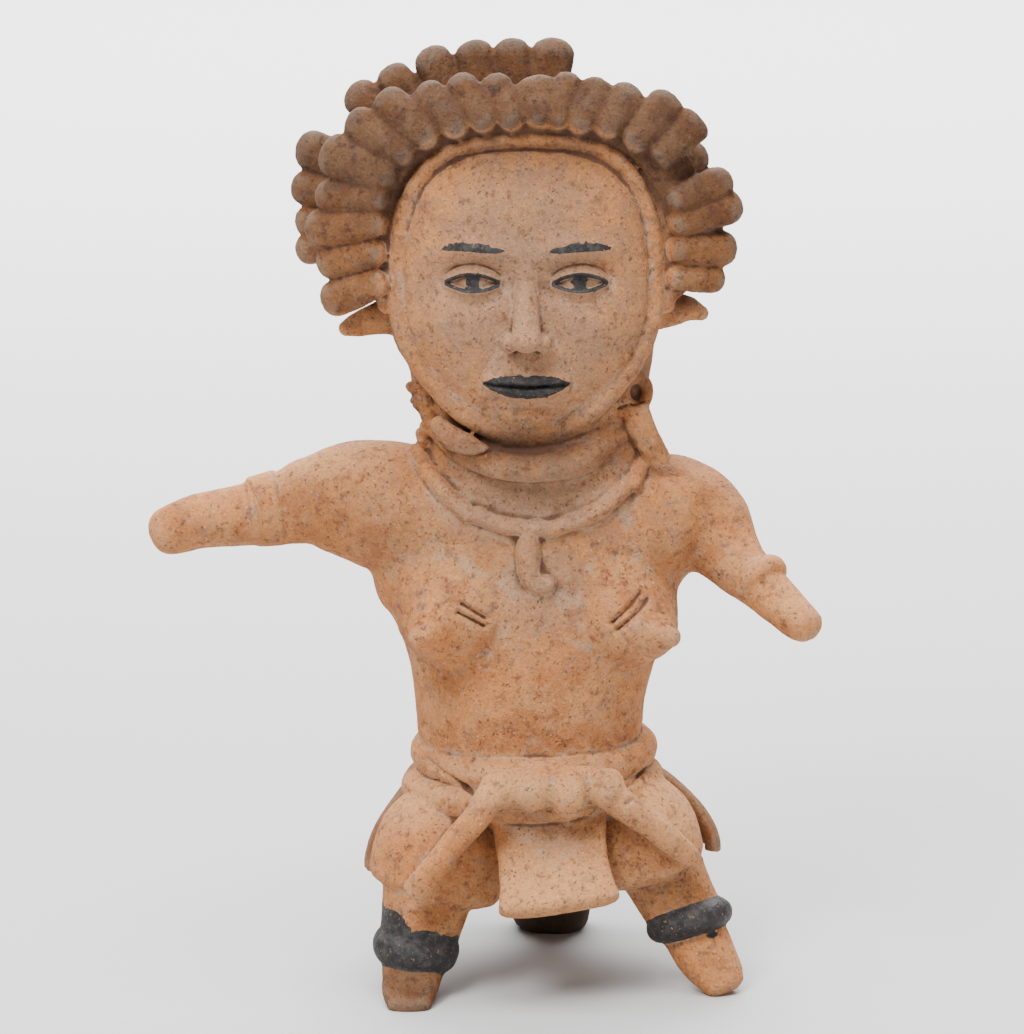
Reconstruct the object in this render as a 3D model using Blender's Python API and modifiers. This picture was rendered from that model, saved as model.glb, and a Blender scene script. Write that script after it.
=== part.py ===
"""Standing female figure, modelled by hand in clay and fired as one piece.

The clay is laid down in the order in which such a figure is made. The masses of the body come
first and are worked smooth. Rolled coils, pads and petals of clay are then pressed on, the face is
modelled, and lines are cut with a stick. Metres, +Z up, the figure looks towards -Y, and the
origin is on the ground under the middle of the figure's box.
"""

import math

import bmesh
import bpy
import numpy as np
from mathutils import Matrix, Vector
from mathutils.bvhtree import BVHTree

# The pose, the proportions and the carving are drawn in shares of the height. The drawing's
# topmost petal reaches this many shares.
FIGURE_HEIGHT = 0.400
DRAWN_HEIGHT = 401.6
SHARE = FIGURE_HEIGHT / DRAWN_HEIGHT

# Thicknesses of the rolled and flattened clay, in metres
BELT_COIL = 0.0154
CHOKER_COIL = 0.0120
NECKLACE_COIL = 0.0072
RIM_COIL = 0.0060
HOOD_ROLL = 0.0150
RIGHT_ANKLE_COIL = 0.0160
LEFT_ANKLE_COIL = 0.0125
PETAL_THICKNESS = 0.0135
APRON_THICKNESS = 0.0096
SKIRT_THICKNESS = 0.0050
TIE_THICKNESS = 0.0106
CUFF_COIL = 0.0084

# How finely the clay is worked, in metres, and how many triangles the finished skin has
BODY_GRAIN = 0.0022
BODY_WORKING = 14
SKIN_GRAIN = 0.0012
SKIN_WORKING = 2
SKIN_TRIANGLES = 9000

CLAY = (0.50, 0.27, 0.15)
CLAY_ROUGHNESS = 0.85

# Head: the middle of the face, and where a drawing manual puts the features between chin and crown
FACE_X = -6.0
CHIN_Z = 239.0
CROWN_Z = 376.0
HEAD_TALL = CROWN_Z - CHIN_Z
FACE_HALF_WIDTH = 55.0
FACE_WIDEST_Z = 300.0
ARCH_TOP_Z = 366.0
ARCH_SQUARENESS = 2.9
FACE_FRONT_Y = -46.0
EYE_Z = CHIN_Z + HEAD_TALL / 2
HAIRLINE_Z = CHIN_Z + HEAD_TALL * 7 / 8
THIRD = (HAIRLINE_Z - CHIN_Z) / 3
FACE_MIDDLE_Z = (HAIRLINE_Z + CHIN_Z) / 2
NOSE_BASE_Z = CHIN_Z + THIRD
BROW_Z = CHIN_Z + 2 * THIRD
MOUTH_Z = NOSE_BASE_Z - THIRD / 3
EYE_HALF = FACE_HALF_WIDTH / 5
EYE_OUT = 2 * EYE_HALF
NOSE_HALF = EYE_HALF * 0.85

# Headdress: two rows of petals on a crown whose outline is a squared oval
CROWN_X = -5.5
CROWN_MIDDLE_Z = 322.0
SQUARED = 2.6
INNER_OVAL = (60.5, 50.5)
OUTER_OVAL = (88.0, 69.5)
BACK_OVAL = (98.0, 79.0)

# Each petal is pinched by hand: direction of its foot, direction of its tip, width, extra reach
FRONT_PETALS = (
    (194.5, 197.6, 15.6, 0),
    (183.0, 186.8, 14.8, -1),
    (170.7, 177.8, 16.6, 4),
    (161.1, 168.1, 14.0, 0),
    (153.3, 156.0, 19.0, 5),
    (142.3, 145.2, 16.0, 3),
    (131.9, 135.3, 16.4, 3),
    (119.4, 125.1, 16.0, -1),
    (107.9, 113.5, 14.4, 0),
    (95.8, 102.7, 14.6, -1),
    (82.0, 88.5, 19.0, 0),
    (77.4, 75.8, 12.4, 0),
    (68.3, 64.7, 15.8, -1.2),
    (57.4, 55.4, 15.6, -1),
    (44.8, 44.9, 17.0, 2.5),
    (34.2, 35.9, 16.0, 3.5),
    (16.3, 17.1, 14.4, -1.5),
    (8.0, 9.8, 15.2, 1),
    (357.7, 357.6, 15.6, -1.5),
    (346.0, 348.6, 12.8, -6),
)
CHIPPED_PETAL = 34.2
SNAPPED_BLUNT = 0.45
BACK_PETALS = (
    (160.0, 160.6, 17.4, 4),
    (169.5, 170.2, 15.2, 2),
    (178.0, 178.8, 13.6, -0.5),
    (186.0, 186.0, 13.8, -0.5),
    (142.0, 142.0, 16.6, -1.5),
    (132.0, 132.1, 16.4, -2.5),
    (119.8, 119.4, 16.6, 0),
    (107.5, 107.0, 16.8, 0.8),
    (95.5, 94.9, 16.0, 0.6),
    (82.0, 81.4, 18.6, 1.6),
    (3.0, 4.0, 15.0, -16),
    (12.5, 13.5, 14.5, -16),
    (22.0, 23.0, 15.0, -18),
    (353.5, 354.5, 14.5, -16),
)


def clear_scene():
    for obj in list(bpy.data.objects):
        bpy.data.objects.remove(obj)


def new_object(name, data):
    obj = bpy.data.objects.new(name, data)
    bpy.context.scene.collection.objects.link(obj)
    return obj


def smooth_rows(rows, steps):
    """A smooth curve through rows of numbers, with so many steps between neighbours."""
    rows = np.array(rows, float)
    ends = np.vstack([2 * rows[0] - rows[1], rows, 2 * rows[-1] - rows[-2]])
    made = []
    for i in range(len(rows) - 1):
        a, b, c, d = ends[i : i + 4]
        for k in range(steps):
            t = k / steps
            made.append(
                0.5 * (2 * b + (c - a) * t + (2 * a - 5 * b + 4 * c - d) * t * t
                       + (3 * b - a - 3 * c + d) * t ** 3)
            )
    made.append(rows[-1])
    return np.array(made)


def round_ends(rows, blunt):
    """Adds shrinking rows past both ends, so that a form closes in a rounded end."""
    def cap(last, before):
        way = (last[:3] - before[:3]) / np.linalg.norm(last[:3] - before[:3])
        made = []
        for turn in (0.35, 0.7, 1.0, 1.25, 1.42):
            row = last.copy()
            row[:3] += way * last[3:].min() * blunt * math.sin(turn)
            row[3:] *= math.cos(turn)
            made.append(row)
        return made

    start = cap(rows[0], rows[1])[::-1]
    return np.array(start + list(rows) + cap(rows[-1], rows[-2]))


def sweep(name, rows, facing=(0, -1, 0), squareness=2.0, blunt=1.0, steps=4, sides=24):
    """A form whose section changes along its way: rows of x, y, z, half width, half depth.

    The section's depth points along facing. Squareness 2 is round and 4 is a rounded slab.
    """
    rows = round_ends(smooth_rows(rows, steps), blunt) * SHARE
    facing = Vector(facing).normalized()
    turns = [2 * math.pi * k / sides for k in range(sides)]
    bm = bmesh.new()
    rings = []
    for i, row in enumerate(rows):
        ahead = rows[min(i + 1, len(rows) - 1)][:3] - rows[max(i - 1, 0)][:3]
        ahead = Vector(ahead).normalized()
        across = facing.cross(ahead).normalized()
        outward = ahead.cross(across)
        ring = []
        for turn in turns:
            c, s = math.cos(turn), math.sin(turn)
            c = math.copysign(abs(c) ** (2 / squareness), c) * row[3]
            s = math.copysign(abs(s) ** (2 / squareness), s) * row[4]
            ring.append(bm.verts.new(Vector(row[:3]) + across * c + outward * s))
        rings.append(ring)
    for low, high in zip(rings, rings[1:]):
        for k in range(sides):
            bm.faces.new((low[k], low[k - 1], high[k - 1], high[k]))
    bm.faces.new(rings[0])
    bm.faces.new(rings[-1][::-1])
    bmesh.ops.recalc_face_normals(bm, faces=bm.faces)
    mesh = bpy.data.meshes.new(name)
    bm.to_mesh(mesh)
    bm.free()
    return new_object(name, mesh)


def coil(name, points, thickness, closed=False, steps=5, swell=None):
    """A coil rolled to one thickness in metres. Swell changes it, by one share for each point."""
    rows = np.column_stack([points, np.ones(len(points)) if swell is None else swell])
    if not closed:
        rows = smooth_rows(rows, steps)
    curve = bpy.data.curves.new(name, "CURVE")
    curve.dimensions = "3D"
    curve.bevel_depth = thickness / 2
    curve.bevel_resolution = 4
    curve.use_fill_caps = True
    spline = curve.splines.new("POLY")
    spline.points.add(len(rows) - 1)
    spline.use_cyclic_u = closed
    for point, row in zip(spline.points, rows):
        point.co = (*(row[:3] * SHARE), 1)
        point.radius = row[3]
    made = [new_object(name, curve)]
    if not closed:
        for row in (rows[0], rows[-1]):
            ball = (thickness / 2 / SHARE * row[3],) * 3
            made.append(pellet(name + "_end", row[:3], ball))
    return made


def pellet(name, centre, radii, turn=(0, 0, 0)):
    """A pellet of clay: a ball pressed to three half sizes."""
    bpy.ops.mesh.primitive_uv_sphere_add(
        segments=32, ring_count=20, location=Vector(centre) * SHARE, rotation=turn
    )
    obj = bpy.context.object
    obj.name = name
    obj.scale = Vector(radii) * SHARE
    return obj


def evaluated_mesh(obj):
    graph = bpy.context.evaluated_depsgraph_get()
    mesh = bpy.data.meshes.new_from_object(obj.evaluated_get(graph))
    mesh.transform(obj.matrix_world)
    return mesh


def press_together(name, forms, grain, working):
    """Closes overlapping forms into one skin and works the joints smooth."""
    bpy.context.view_layer.update()
    joined = bmesh.new()
    for form in forms:
        mesh = evaluated_mesh(form)
        joined.from_mesh(mesh)
        bpy.data.meshes.remove(mesh)
        bpy.data.objects.remove(form)
    mesh = bpy.data.meshes.new(name)
    joined.to_mesh(mesh)
    joined.free()
    obj = new_object(name, mesh)
    close = obj.modifiers.new("Close the skin", "REMESH")
    close.mode = "VOXEL"
    close.voxel_size = grain
    smooth = obj.modifiers.new("Work it smooth", "SMOOTH")
    smooth.factor = 0.5
    smooth.iterations = round(working)
    return applied(obj)


def applied(obj):
    """The object with its modifiers made permanent."""
    bpy.context.view_layer.update()
    mesh = evaluated_mesh(obj)
    obj.modifiers.clear()
    obj.data = mesh
    return obj


def surface_of(obj):
    graph = bpy.context.evaluated_depsgraph_get()
    return BVHTree.FromObject(obj, graph)


def lay_on(surface, points, lift):
    """Gives points (x, z) the depth of the body's front there, with so much of the clay proud."""
    laid = []
    for x, z in points:
        start = Vector((x * SHARE, -FIGURE_HEIGHT, z * SHARE))
        hit = surface.ray_cast(start, Vector((0, 1, 0)))[0]
        if hit is None:
            hit = surface.find_nearest(Vector((x * SHARE, -20 * SHARE, z * SHARE)))[0]
        laid.append((x, hit.y / SHARE - lift, z))
    return laid


def oval_way(middle, halves, height, turns=64):
    """A closed way on an oval seen from above, at a height given by a function of the angle."""
    way = []
    for k in range(turns):
        angle = 2 * math.pi * k / turns
        x = middle[0] + halves[0] * math.cos(angle)
        y = middle[1] + halves[1] * math.sin(angle)
        way.append((x, y, height(angle)))
    return way


# Body


def torso():
    return sweep(
        "torso",
        (
            (0, 0, 66, 38, 33),
            (-2, -1, 84, 43, 36),
            (-3, -1, 97, 45.5, 36.5),
            (-4, -1, 109, 48.6, 36.5),
            (-4.3, -1, 122, 49.3, 37.3),
            (-3.8, 0, 136, 52, 38),
            (-3.4, 1, 153, 58.2, 38.5),
            (-3.4, 1, 164, 61.8, 38.5),
            (-4.2, 1, 174, 66.8, 37.5),
            (-3.6, 0, 187, 67.8, 36.5),
            (-1, -1, 200, 66, 36),
            (2, -2, 213, 61, 34),
            (2, -2, 222, 50, 31),
        ),
        squareness=2.3,
        blunt=0.25,
        sides=40,
    )


def head():
    """The neck, and the skull with the hair that falls straight down behind the face."""
    return sweep(
        "head",
        (
            (-1, -3, 214, 46, 33),
            (-1.5, -2, 230, 47, 34),
            (-1.8, 1, 245, 48.3, 35.5),
            (-3.6, 3, 258, 50.3, 37),
            (-4.2, 4, 270, 52.4, 40),
            (-5.4, 4, 282, 57.4, 42.5),
            (-5.8, 4, 296, 59.4, 44),
            (-6.2, 4, 312, 58, 45),
            (-6, 4, 335, 57, 44),
            (-6, 4, 352, 53, 41),
            (-6, 4, 364, 44, 33),
        ),
        squareness=2.2,
        blunt=0.35,
        sides=40,
    )


def face_outline(angle, share=1.0):
    """The edge of the hood: a squared arch above, and a plain oval jaw that narrows to the chin."""
    across, up = math.cos(angle), math.sin(angle)
    if up > 0:
        across = math.copysign(abs(across) ** (2 / ARCH_SQUARENESS), across)
        up = up ** (2 / ARCH_SQUARENESS)
        tall = ARCH_TOP_Z - FACE_WIDEST_Z
    else:
        across *= 1 - 0.17 * (-up) ** 1.6
        tall = FACE_WIDEST_Z - CHIN_Z
    x = FACE_X + FACE_HALF_WIDTH * across * share
    z = FACE_WIDEST_Z + tall * up * share
    return x, z


def face_dome():
    """The plain front of the face, before the features: a shallow dome on the face's oval."""
    depth = 27.0
    sides, rings = 48, 14
    bm = bmesh.new()
    made = []
    for k in range(rings):
        rise = 0.5 * math.pi * k / (rings - 1)
        share = max(math.cos(rise), 0.01)
        y = FACE_FRONT_Y + depth - depth * math.sin(rise) ** 0.8
        ring = [face_outline(2 * math.pi * i / sides, share) for i in range(sides)]
        made.append([bm.verts.new(Vector((x, y, z)) * SHARE) for x, z in ring])
    back = [face_outline(2 * math.pi * i / sides, 0.9) for i in range(sides)]
    made.insert(0, [bm.verts.new(Vector((x, 6, z)) * SHARE) for x, z in back])
    for low, high in zip(made, made[1:]):
        for i in range(sides):
            bm.faces.new((low[i], low[i - 1], high[i - 1], high[i]))
    bm.faces.new(made[0])
    bm.faces.new(made[-1][::-1])
    bmesh.ops.recalc_face_normals(bm, faces=bm.faces)
    mesh = bpy.data.meshes.new("face_dome")
    bm.to_mesh(mesh)
    bm.free()
    return new_object("face_dome", mesh)


def arms():
    right = sweep(
        "right_arm",
        (
            (-50, -1, 203, 26, 31),
            (-66, -2, 205.4, 28, 27),
            (-80.6, -2, 207.4, 25.8, 22),
            (-97.4, -4, 207.4, 19.8, 16.4),
            (-107.9, -5, 204.6, 15.8, 14.3),
            (-124.8, -6, 202.1, 13.5, 12.6),
            (-143.7, -8, 199.7, 12.3, 11.2),
            (-157.5, -9.5, 195.4, 11.0, 9.6),
        ),
        blunt=0.85,
    )
    left = sweep(
        "left_arm",
        (
            (46, -1, 202, 26, 25),
            (61, -4, 201.4, 27.0, 23),
            (71, -9.5, 196.8, 21.2, 20),
            (78.4, -19, 189.4, 14.5, 15),
            (86.7, -32, 182.3, 12.0, 11.6),
            (97.0, -43, 175.4, 10.8, 10.0),
            (108.6, -54.2, 166.4, 9.4, 8.6),
        ),
        facing=(0.55, -0.45, 0.7),
        blunt=0.9,
    )
    return [right, left]


def breasts():
    """Each breast is a broad cone that runs out softly into the chest."""
    right = sweep(
        "right_breast",
        (
            (-33, -16, 166, 28, 30),
            (-38, -26, 163.5, 24, 25),
            (-43, -35, 161.3, 17, 17.5),
            (-46.5, -42.5, 160, 10.4, 10.6),
            (-49, -47, 159.7, 6, 6),
        ),
        facing=(0, 0, 1),
    )
    left = sweep(
        "left_breast",
        (
            (33, -16, 165.5, 26, 29),
            (38.5, -25, 162.6, 23, 24),
            (44, -33.5, 160.3, 17.2, 17.6),
            (49, -40.8, 159.3, 10.8, 11),
            (52, -45.5, 159.3, 6.2, 6.2),
        ),
        facing=(0, 0, 1),
    )
    swellings = [
        pellet("right_swelling", (-33, -18, 168), (30, 21.5, 31)),
        pellet("left_swelling", (29, -18, 168), (27, 21.5, 31)),
    ]
    return [right, left] + swellings


def nipples():
    return [
        pellet("right_nipple", (-50.6, -48.0, 159.6), (4.6, 3.8, 4.6)),
        pellet("left_nipple", (53.6, -46.6, 159.4), (4.8, 3.8, 4.8)),
    ]


def legs():
    right = sweep(
        "right_leg",
        (
            (-25, -2, 74, 21, 23),
            (-40, -13, 62, 23, 23),
            (-46, -22, 47, 21, 20),
            (-49.6, -28, 33, 18.6, 18.5),
            (-52, -33, 20, 17, 15.5),
        ),
        blunt=0.4,
    )
    left = sweep(
        "left_leg",
        (
            (25, -2, 76, 21, 23),
            (43, -11, 66, 23, 23),
            (51.6, -16, 50, 18.8, 20),
            (58.8, -20, 36, 16.9, 18),
            (65, -24.5, 26, 15.5, 15),
        ),
        blunt=0.4,
    )
    return [right, left]


def feet():
    """Tapering feet that point forward and down, a little longer than the ground allows."""
    right = sweep(
        "right_foot",
        (
            (-52.5, -33, 19, 14, 13),
            (-54.2, -43, 11, 13, 9.5),
            (-55.3, -52, 5.5, 11.6, 7),
            (-55.3, -58, 2.0, 9.4, 5.2),
        ),
        facing=(0, -0.6, 0.8),
        squareness=2.5,
        blunt=0.8,
    )
    left = sweep(
        "left_foot",
        (
            (65, -24.5, 25, 13.2, 12.5),
            (70.2, -30, 16, 12.8, 11),
            (75.8, -34.5, 8.4, 11.3, 8),
            (78.6, -37.5, 4.2, 9.2, 5.8),
        ),
        facing=(0.2, -0.75, 0.6),
        squareness=2.4,
        blunt=0.7,
    )
    return [right, left]


def rear_support():
    """The third leg, behind the skirt, that lets the figure stand."""
    return sweep(
        "rear_support",
        (
            (1, 12, 84, 25, 22),
            (3, 32, 62, 20, 18),
            (5, 47, 38, 18, 16),
            (5.6, 54, 18, 18.4, 16.5),
            (5.2, 55.5, 3.5, 17.6, 16),
        ),
        squareness=2.6,
        blunt=0.35,
    )


def hip_cloth():
    """The wrapped cloth over each thigh: it ends in a blunt hem that stands off the leg."""
    right = sweep(
        "hip_cloth_right",
        (
            (-26, -4, 77, 17, 20),
            (-31.6, -8, 70, 21.0, 24.5),
            (-38.8, -14.5, 58.5, 26.6, 29),
            (-43.4, -17, 43.4, 26.2, 29),
        ),
        squareness=2.2,
        blunt=0.3,
    )
    left = sweep(
        "hip_cloth_left",
        (
            (26, -4, 79, 17, 20),
            (34, -8, 72.5, 20.8, 24.5),
            (42.6, -13, 64, 25.0, 28.5),
            (47.6, -14.8, 51, 24.2, 28.5),
        ),
        squareness=2.2,
        blunt=0.3,
    )
    return [right, left]


def skirt_sheet():
    """The sheet of cloth that flares from the belt round the back, from hip to hip."""
    across = 40
    half_sweep = math.radians(103)
    levels = smooth_rows(
        (
            (88, -1.5, 47, 34, 0),
            (82, -0.5, 52.5, 39, 0.25),
            (75, 0.6, 59.6, 44, 0.5),
            (66, 1.5, 67.0, 48.5, 0.7),
            (57, 1.9, 72.2, 50.5, 0.85),
            (50, 2.0, 74.4, 51.5, 0.95),
            (45.5, 2.0, 74.6, 52, 1),
        ),
        2,
    )
    bm = bmesh.new()
    grid = []
    for z, middle, wide, deep, ragged in levels:
        row = []
        for i in range(across + 1):
            share = 2 * i / across - 1
            angle = share * half_sweep
            wave = 1 + 0.02 * math.cos(5 * angle + 0.6) * ragged
            x = middle + wide * wave * math.sin(angle)
            y = 8 + (deep * wave if abs(angle) < math.pi / 2 else 18) * math.cos(angle)
            lift = (4.4 * share + 1.0 * math.sin(7 * share)) * ragged
            row.append(bm.verts.new(Vector((x, y, z + lift)) * SHARE))
        grid.append(row)
    for high, low in zip(grid, grid[1:]):
        for i in range(across):
            bm.faces.new((high[i], high[i + 1], low[i + 1], low[i]))
    mesh = bpy.data.meshes.new("skirt_sheet")
    bm.to_mesh(mesh)
    bm.free()
    obj = new_object("skirt_sheet", mesh)
    thick = obj.modifiers.new("Thickness", "SOLIDIFY")
    thick.thickness = SKIRT_THICKNESS
    thick.offset = 0
    return obj


def body():
    forms = [torso(), head(), face_dome(), rear_support()]
    forms.append(pellet("left_breastbone", (50, -12, 200), (24, 23, 23)))
    forms += arms() + breasts() + legs()
    return press_together("body", forms, BODY_GRAIN, BODY_WORKING)


# Clay pressed on


def squared_oval(halves, degrees):
    """How far a squared oval reaches from the crown's middle in one direction."""
    c, s = math.cos(math.radians(degrees)), math.sin(math.radians(degrees))
    return (abs(c / halves[0]) ** SQUARED + abs(s / halves[1]) ** SQUARED) ** (-1 / SQUARED)


def on_crown(reach, degrees, y):
    angle = math.radians(degrees)
    return (CROWN_X + reach * math.cos(angle), y, CROWN_MIDDLE_Z + reach * math.sin(angle))


def crown():
    """The arched block behind the face that both rows of petals are pressed on."""
    low, high = -16, 198
    curve = bpy.data.curves.new("crown", "CURVE")
    curve.dimensions = "2D"
    curve.fill_mode = "BOTH"
    curve.extrude = 20 * SHARE
    curve.bevel_depth = 5 * SHARE
    curve.bevel_resolution = 3
    outline = [on_crown(squared_oval(INNER_OVAL, d) + 4, d, 0) for d in range(low, high + 1, 6)]
    outline += [(CROWN_X - 40, 0, CHIN_Z + 46), (CROWN_X + 40, 0, CHIN_Z + 46)]
    spline = curve.splines.new("POLY")
    spline.points.add(len(outline) - 1)
    spline.use_cyclic_u = True
    for point, (x, _, z) in zip(spline.points, outline):
        point.co = (x * SHARE, z * SHARE, 0, 1)
    obj = new_object("crown", curve)
    obj.rotation_euler = (math.pi / 2, 0, 0)
    obj.location.y = 1.0 * SHARE
    return obj


def petal(name, foot, tip, width, blunt=0.9):
    """A flattened finger of clay that widens towards its tip. A low blunt leaves a snapped end."""
    foot, tip = Vector(foot), Vector(tip)
    half, deep = width / 2, PETAL_THICKNESS / 2 / SHARE
    ahead = (tip - foot).normalized()
    foot, tip = foot + ahead * half * 0.5, tip - ahead * half * 0.8
    rows = (
        (*foot, half * 0.80, deep * 0.95),
        (*foot.lerp(tip, 0.45), half * 0.93, deep * 1.10),
        (*tip, half * 0.97, deep * 1.02),
    )
    return sweep(name, rows, squareness=2.25, blunt=blunt, sides=20)


def front_petals():
    made = []
    for foot_way, tip_way, width, reach in FRONT_PETALS:
        up = max(0.0, math.sin(math.radians(foot_way)))
        foot = on_crown(squared_oval(INNER_OVAL, foot_way) - 1, foot_way, -27 - 9 * up)
        far = squared_oval(OUTER_OVAL, tip_way) + reach
        tip = on_crown(far, tip_way, -19 - 5 * up)
        blunt = SNAPPED_BLUNT if foot_way == CHIPPED_PETAL else 0.9
        made.append(petal("front_petal", foot, tip, width, blunt))
    return made


def snapped_petals():
    """The stubs of the petals that have snapped off at the figure's left."""
    front = petal("snapped_petal", on_crown(60, 27, -25), on_crown(76, 25.5, -14), 13.5, 0.1)
    behind = petal("snapped_petal", on_crown(62, 30, -12), on_crown(80, 33, -6), 12.5, 0.1)
    return [front, behind]


def back_petals():
    made = []
    for foot_way, tip_way, width, reach in BACK_PETALS:
        foot = on_crown(squared_oval(INNER_OVAL, foot_way), foot_way, 13)
        far = squared_oval(BACK_OVAL, tip_way) + reach
        tip = on_crown(far, tip_way, 17)
        made.append(petal("back_petal", foot, tip, width))
    return made


def ear_lugs():
    """The pointed lobes that stick out under the lowest petals."""
    right = sweep(
        "right_lug",
        (
            (-54, -4, 288, 10, 9),
            (-66, -7, 287.2, 7.4, 6.5),
            (-76, -8, 284.4, 5.4, 4.5),
            (-81.5, -8.5, 282.4, 3.4, 3),
        ),
    )
    left = sweep(
        "left_lug",
        (
            (44, -4, 289.5, 10, 9),
            (52.5, -7, 290.0, 7.8, 6.5),
            (61.0, -8, 291.0, 5.8, 5),
            (67.6, -8.5, 289.2, 3.2, 2.8),
        ),
    )
    return [right, left]


def ear_ornaments():
    """What is left of the ear ornaments: a broken stub, and a ring with its hanging tail."""
    stub = sweep(
        "right_ear_stub",
        ((-46, -12, 262, 5, 6), (-49, -15, 256, 5.2, 6), (-46, -16, 247, 3.4, 4)),
    )
    bpy.ops.mesh.primitive_torus_add(
        location=Vector((39.8, -19, 257.5)) * SHARE,
        rotation=(math.radians(80), 0, math.radians(38)),
        major_radius=6.2 * SHARE,
        minor_radius=2.7 * SHARE,
    )
    ring = bpy.context.object
    tail = sweep(
        "left_ear_tail",
        (
            (39.6, -21, 250.6, 6.0, 3.6),
            (42.3, -22, 243.3, 5.8, 4.0),
            (46.2, -21.5, 235.2, 5.2, 4.2),
            (50.2, -20, 228.8, 4.6, 3.8),
        ),
        squareness=3.0,
        blunt=0.6,
    )
    return [stub, ring, tail] + broken_ear()


def broken_ear():
    """Rough lumps where the right ear's ornament has broken away."""
    lumps = (
        ((-52.8, -14, 258.4), (4.2, 4.0, 2.2)),
        ((-51.0, -15, 252.6), (3.4, 4.4, 2.6)),
        ((-46.6, -15, 243.6), (3.6, 5.0, 6.0)),
        ((-47.0, -9, 236.4), (6.0, 6.6, 3.8)),
    )
    return [pellet("right_ear_break", centre, radii, (0.3, 0.4, 0)) for centre, radii in lumps]


def hood_rim():
    """The coil that edges the hood: thin over the brow, and broad along the jaw."""
    way, swell = [], []
    for k in range(96):
        angle = 2 * math.pi * k / 96
        up, down = max(0.0, math.sin(angle)), max(0.0, -math.sin(angle))
        x, z = face_outline(angle, 0.99 - 0.03 * (1 - up))
        way.append((x, -25 - 6 * up - 7 * down, z))
        swell.append(1 + 0.6 * (1 - up) ** 2)
    return coil("hood_rim", way, RIM_COIL, closed=True, swell=swell)


def hood_roll():
    """The thicker roll behind the rim, over the brow, that the petals are pressed on."""
    way, swell = [], []
    for k in range(25):
        angle = math.radians(-4 + 188 * k / 24)
        up = max(0.0, math.sin(angle))
        x, z = face_outline(angle, 1.05 + 0.03 * up)
        way.append((x, -21 + 4 * up, z))
        swell.append(min(1.0, 0.6 + 0.15 * min(k, 24 - k)))
    return coil("hood_roll", way, HOOD_ROLL, swell=swell)


def nose():
    """A wedge of clay and two pellets for the wings."""
    front = FACE_FRONT_Y
    bridge = sweep(
        "nose",
        (
            (FACE_X, front + 3.0, BROW_Z - 6, 4.0, 3.0),
            (FACE_X, front - 0.5, EYE_Z - 6, 4.2, 4.0),
            (FACE_X, front - 4.5, NOSE_BASE_Z + 11, 5.2, 5.0),
            (FACE_X, front - 7.0, NOSE_BASE_Z + 5.5, 6.0, 5.4),
        ),
        blunt=0.7,
    )
    wings = []
    for side in (-1, 1):
        x = FACE_X + side * NOSE_HALF * 0.72
        wings.append(pellet("nose_wing", (x, front - 1.5, NOSE_BASE_Z + 4.5), (3.8, 5.0, 3.8)))
    return [bridge] + wings


def choker():
    """The thick coil round the neck, low in front under the chin."""
    def height(angle):
        return min(229.0 + 23.0 * (1 - max(0.0, -math.sin(angle))), 248.5)

    return coil("choker", oval_way((-3.8, 0), (41.5, 38.5), height), CHOKER_COIL, closed=True)


def choker_lip():
    """A slab of clay that has lifted off the choker's right end."""
    return sweep(
        "choker_lip",
        (
            (-43.0, -27.0, 246.5, 3.0, 3.4),
            (-37.4, -32.5, 240.9, 5.0, 3.8),
            (-29.8, -37.0, 238.2, 4.8, 3.8),
            (-22.0, -40.0, 236.4, 2.6, 2.8),
        ),
        squareness=2.6,
        blunt=0.5,
    )


def necklace(surface):
    """The thin necklace, pieced from short coils, with a hooked pendant."""
    lift = 0.7
    strands = (
        ((-52.0, 230.0), (-47.2, 224.1), (-39.8, 216.7), (-29.8, 209.2)),
        ((-26.5, 208.6), (-17.0, 205.3), (-7.5, 203.6)),
        ((2.5, 202.8), (14.3, 206.2), (24.4, 210.6)),
        ((26.6, 211.8), (33.0, 217.5), (38.3, 221.4)),
        ((38.6, 220.4), (41.4, 225.8), (43.2, 230.2)),
    )
    made = []
    for strand in strands:
        made += coil("necklace", lay_on(surface, strand, lift), NECKLACE_COIL)
    knot = lay_on(surface, ((-2.0, 203.6),), 1.0)[0]
    made.append(pellet("necklace_knot", knot, (7.0, 3.8, 3.6)))
    hook = ((-4.6, 201), (-5.2, 191.5), (-4.6, 184.6), (-1.6, 180.2), (2.4, 179.6))
    halves = (4.1, 4.7, 4.6, 4.3, 3.8)
    rows = [(*co, half, 3.8) for co, half in zip(lay_on(surface, hook, 0.9), halves)]
    made.append(sweep("pendant", rows))
    return made


def belt():
    """The belt is wound twice round the waist and sags a little in front."""
    upper = oval_way(
        (-2.5, 0), (45.4, 37.6), lambda a: 97.9 + 0.9 * math.cos(a) + 1.3 * math.sin(a)
    )
    lower = oval_way(
        (-3.0, 0), (48.8, 40.6), lambda a: 83.6 + 1.5 * math.cos(a) - 0.8 * math.sin(a)
    )
    return coil("belt_upper", upper, BELT_COIL, closed=True) + coil(
        "belt_lower", lower, BELT_COIL, closed=True
    )


def ankle_band(name, centre, radius, thickness, lean):
    """A torus round the ankle. Lean is its tilt to the side and forward, in degrees."""
    bpy.ops.mesh.primitive_torus_add(
        location=Vector(centre) * SHARE,
        rotation=(math.radians(lean[1]), math.radians(lean[0]), 0),
        major_segments=48,
        minor_segments=16,
        major_radius=radius * SHARE,
        minor_radius=thickness / 2,
    )
    obj = bpy.context.object
    obj.name = name
    return obj


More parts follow.
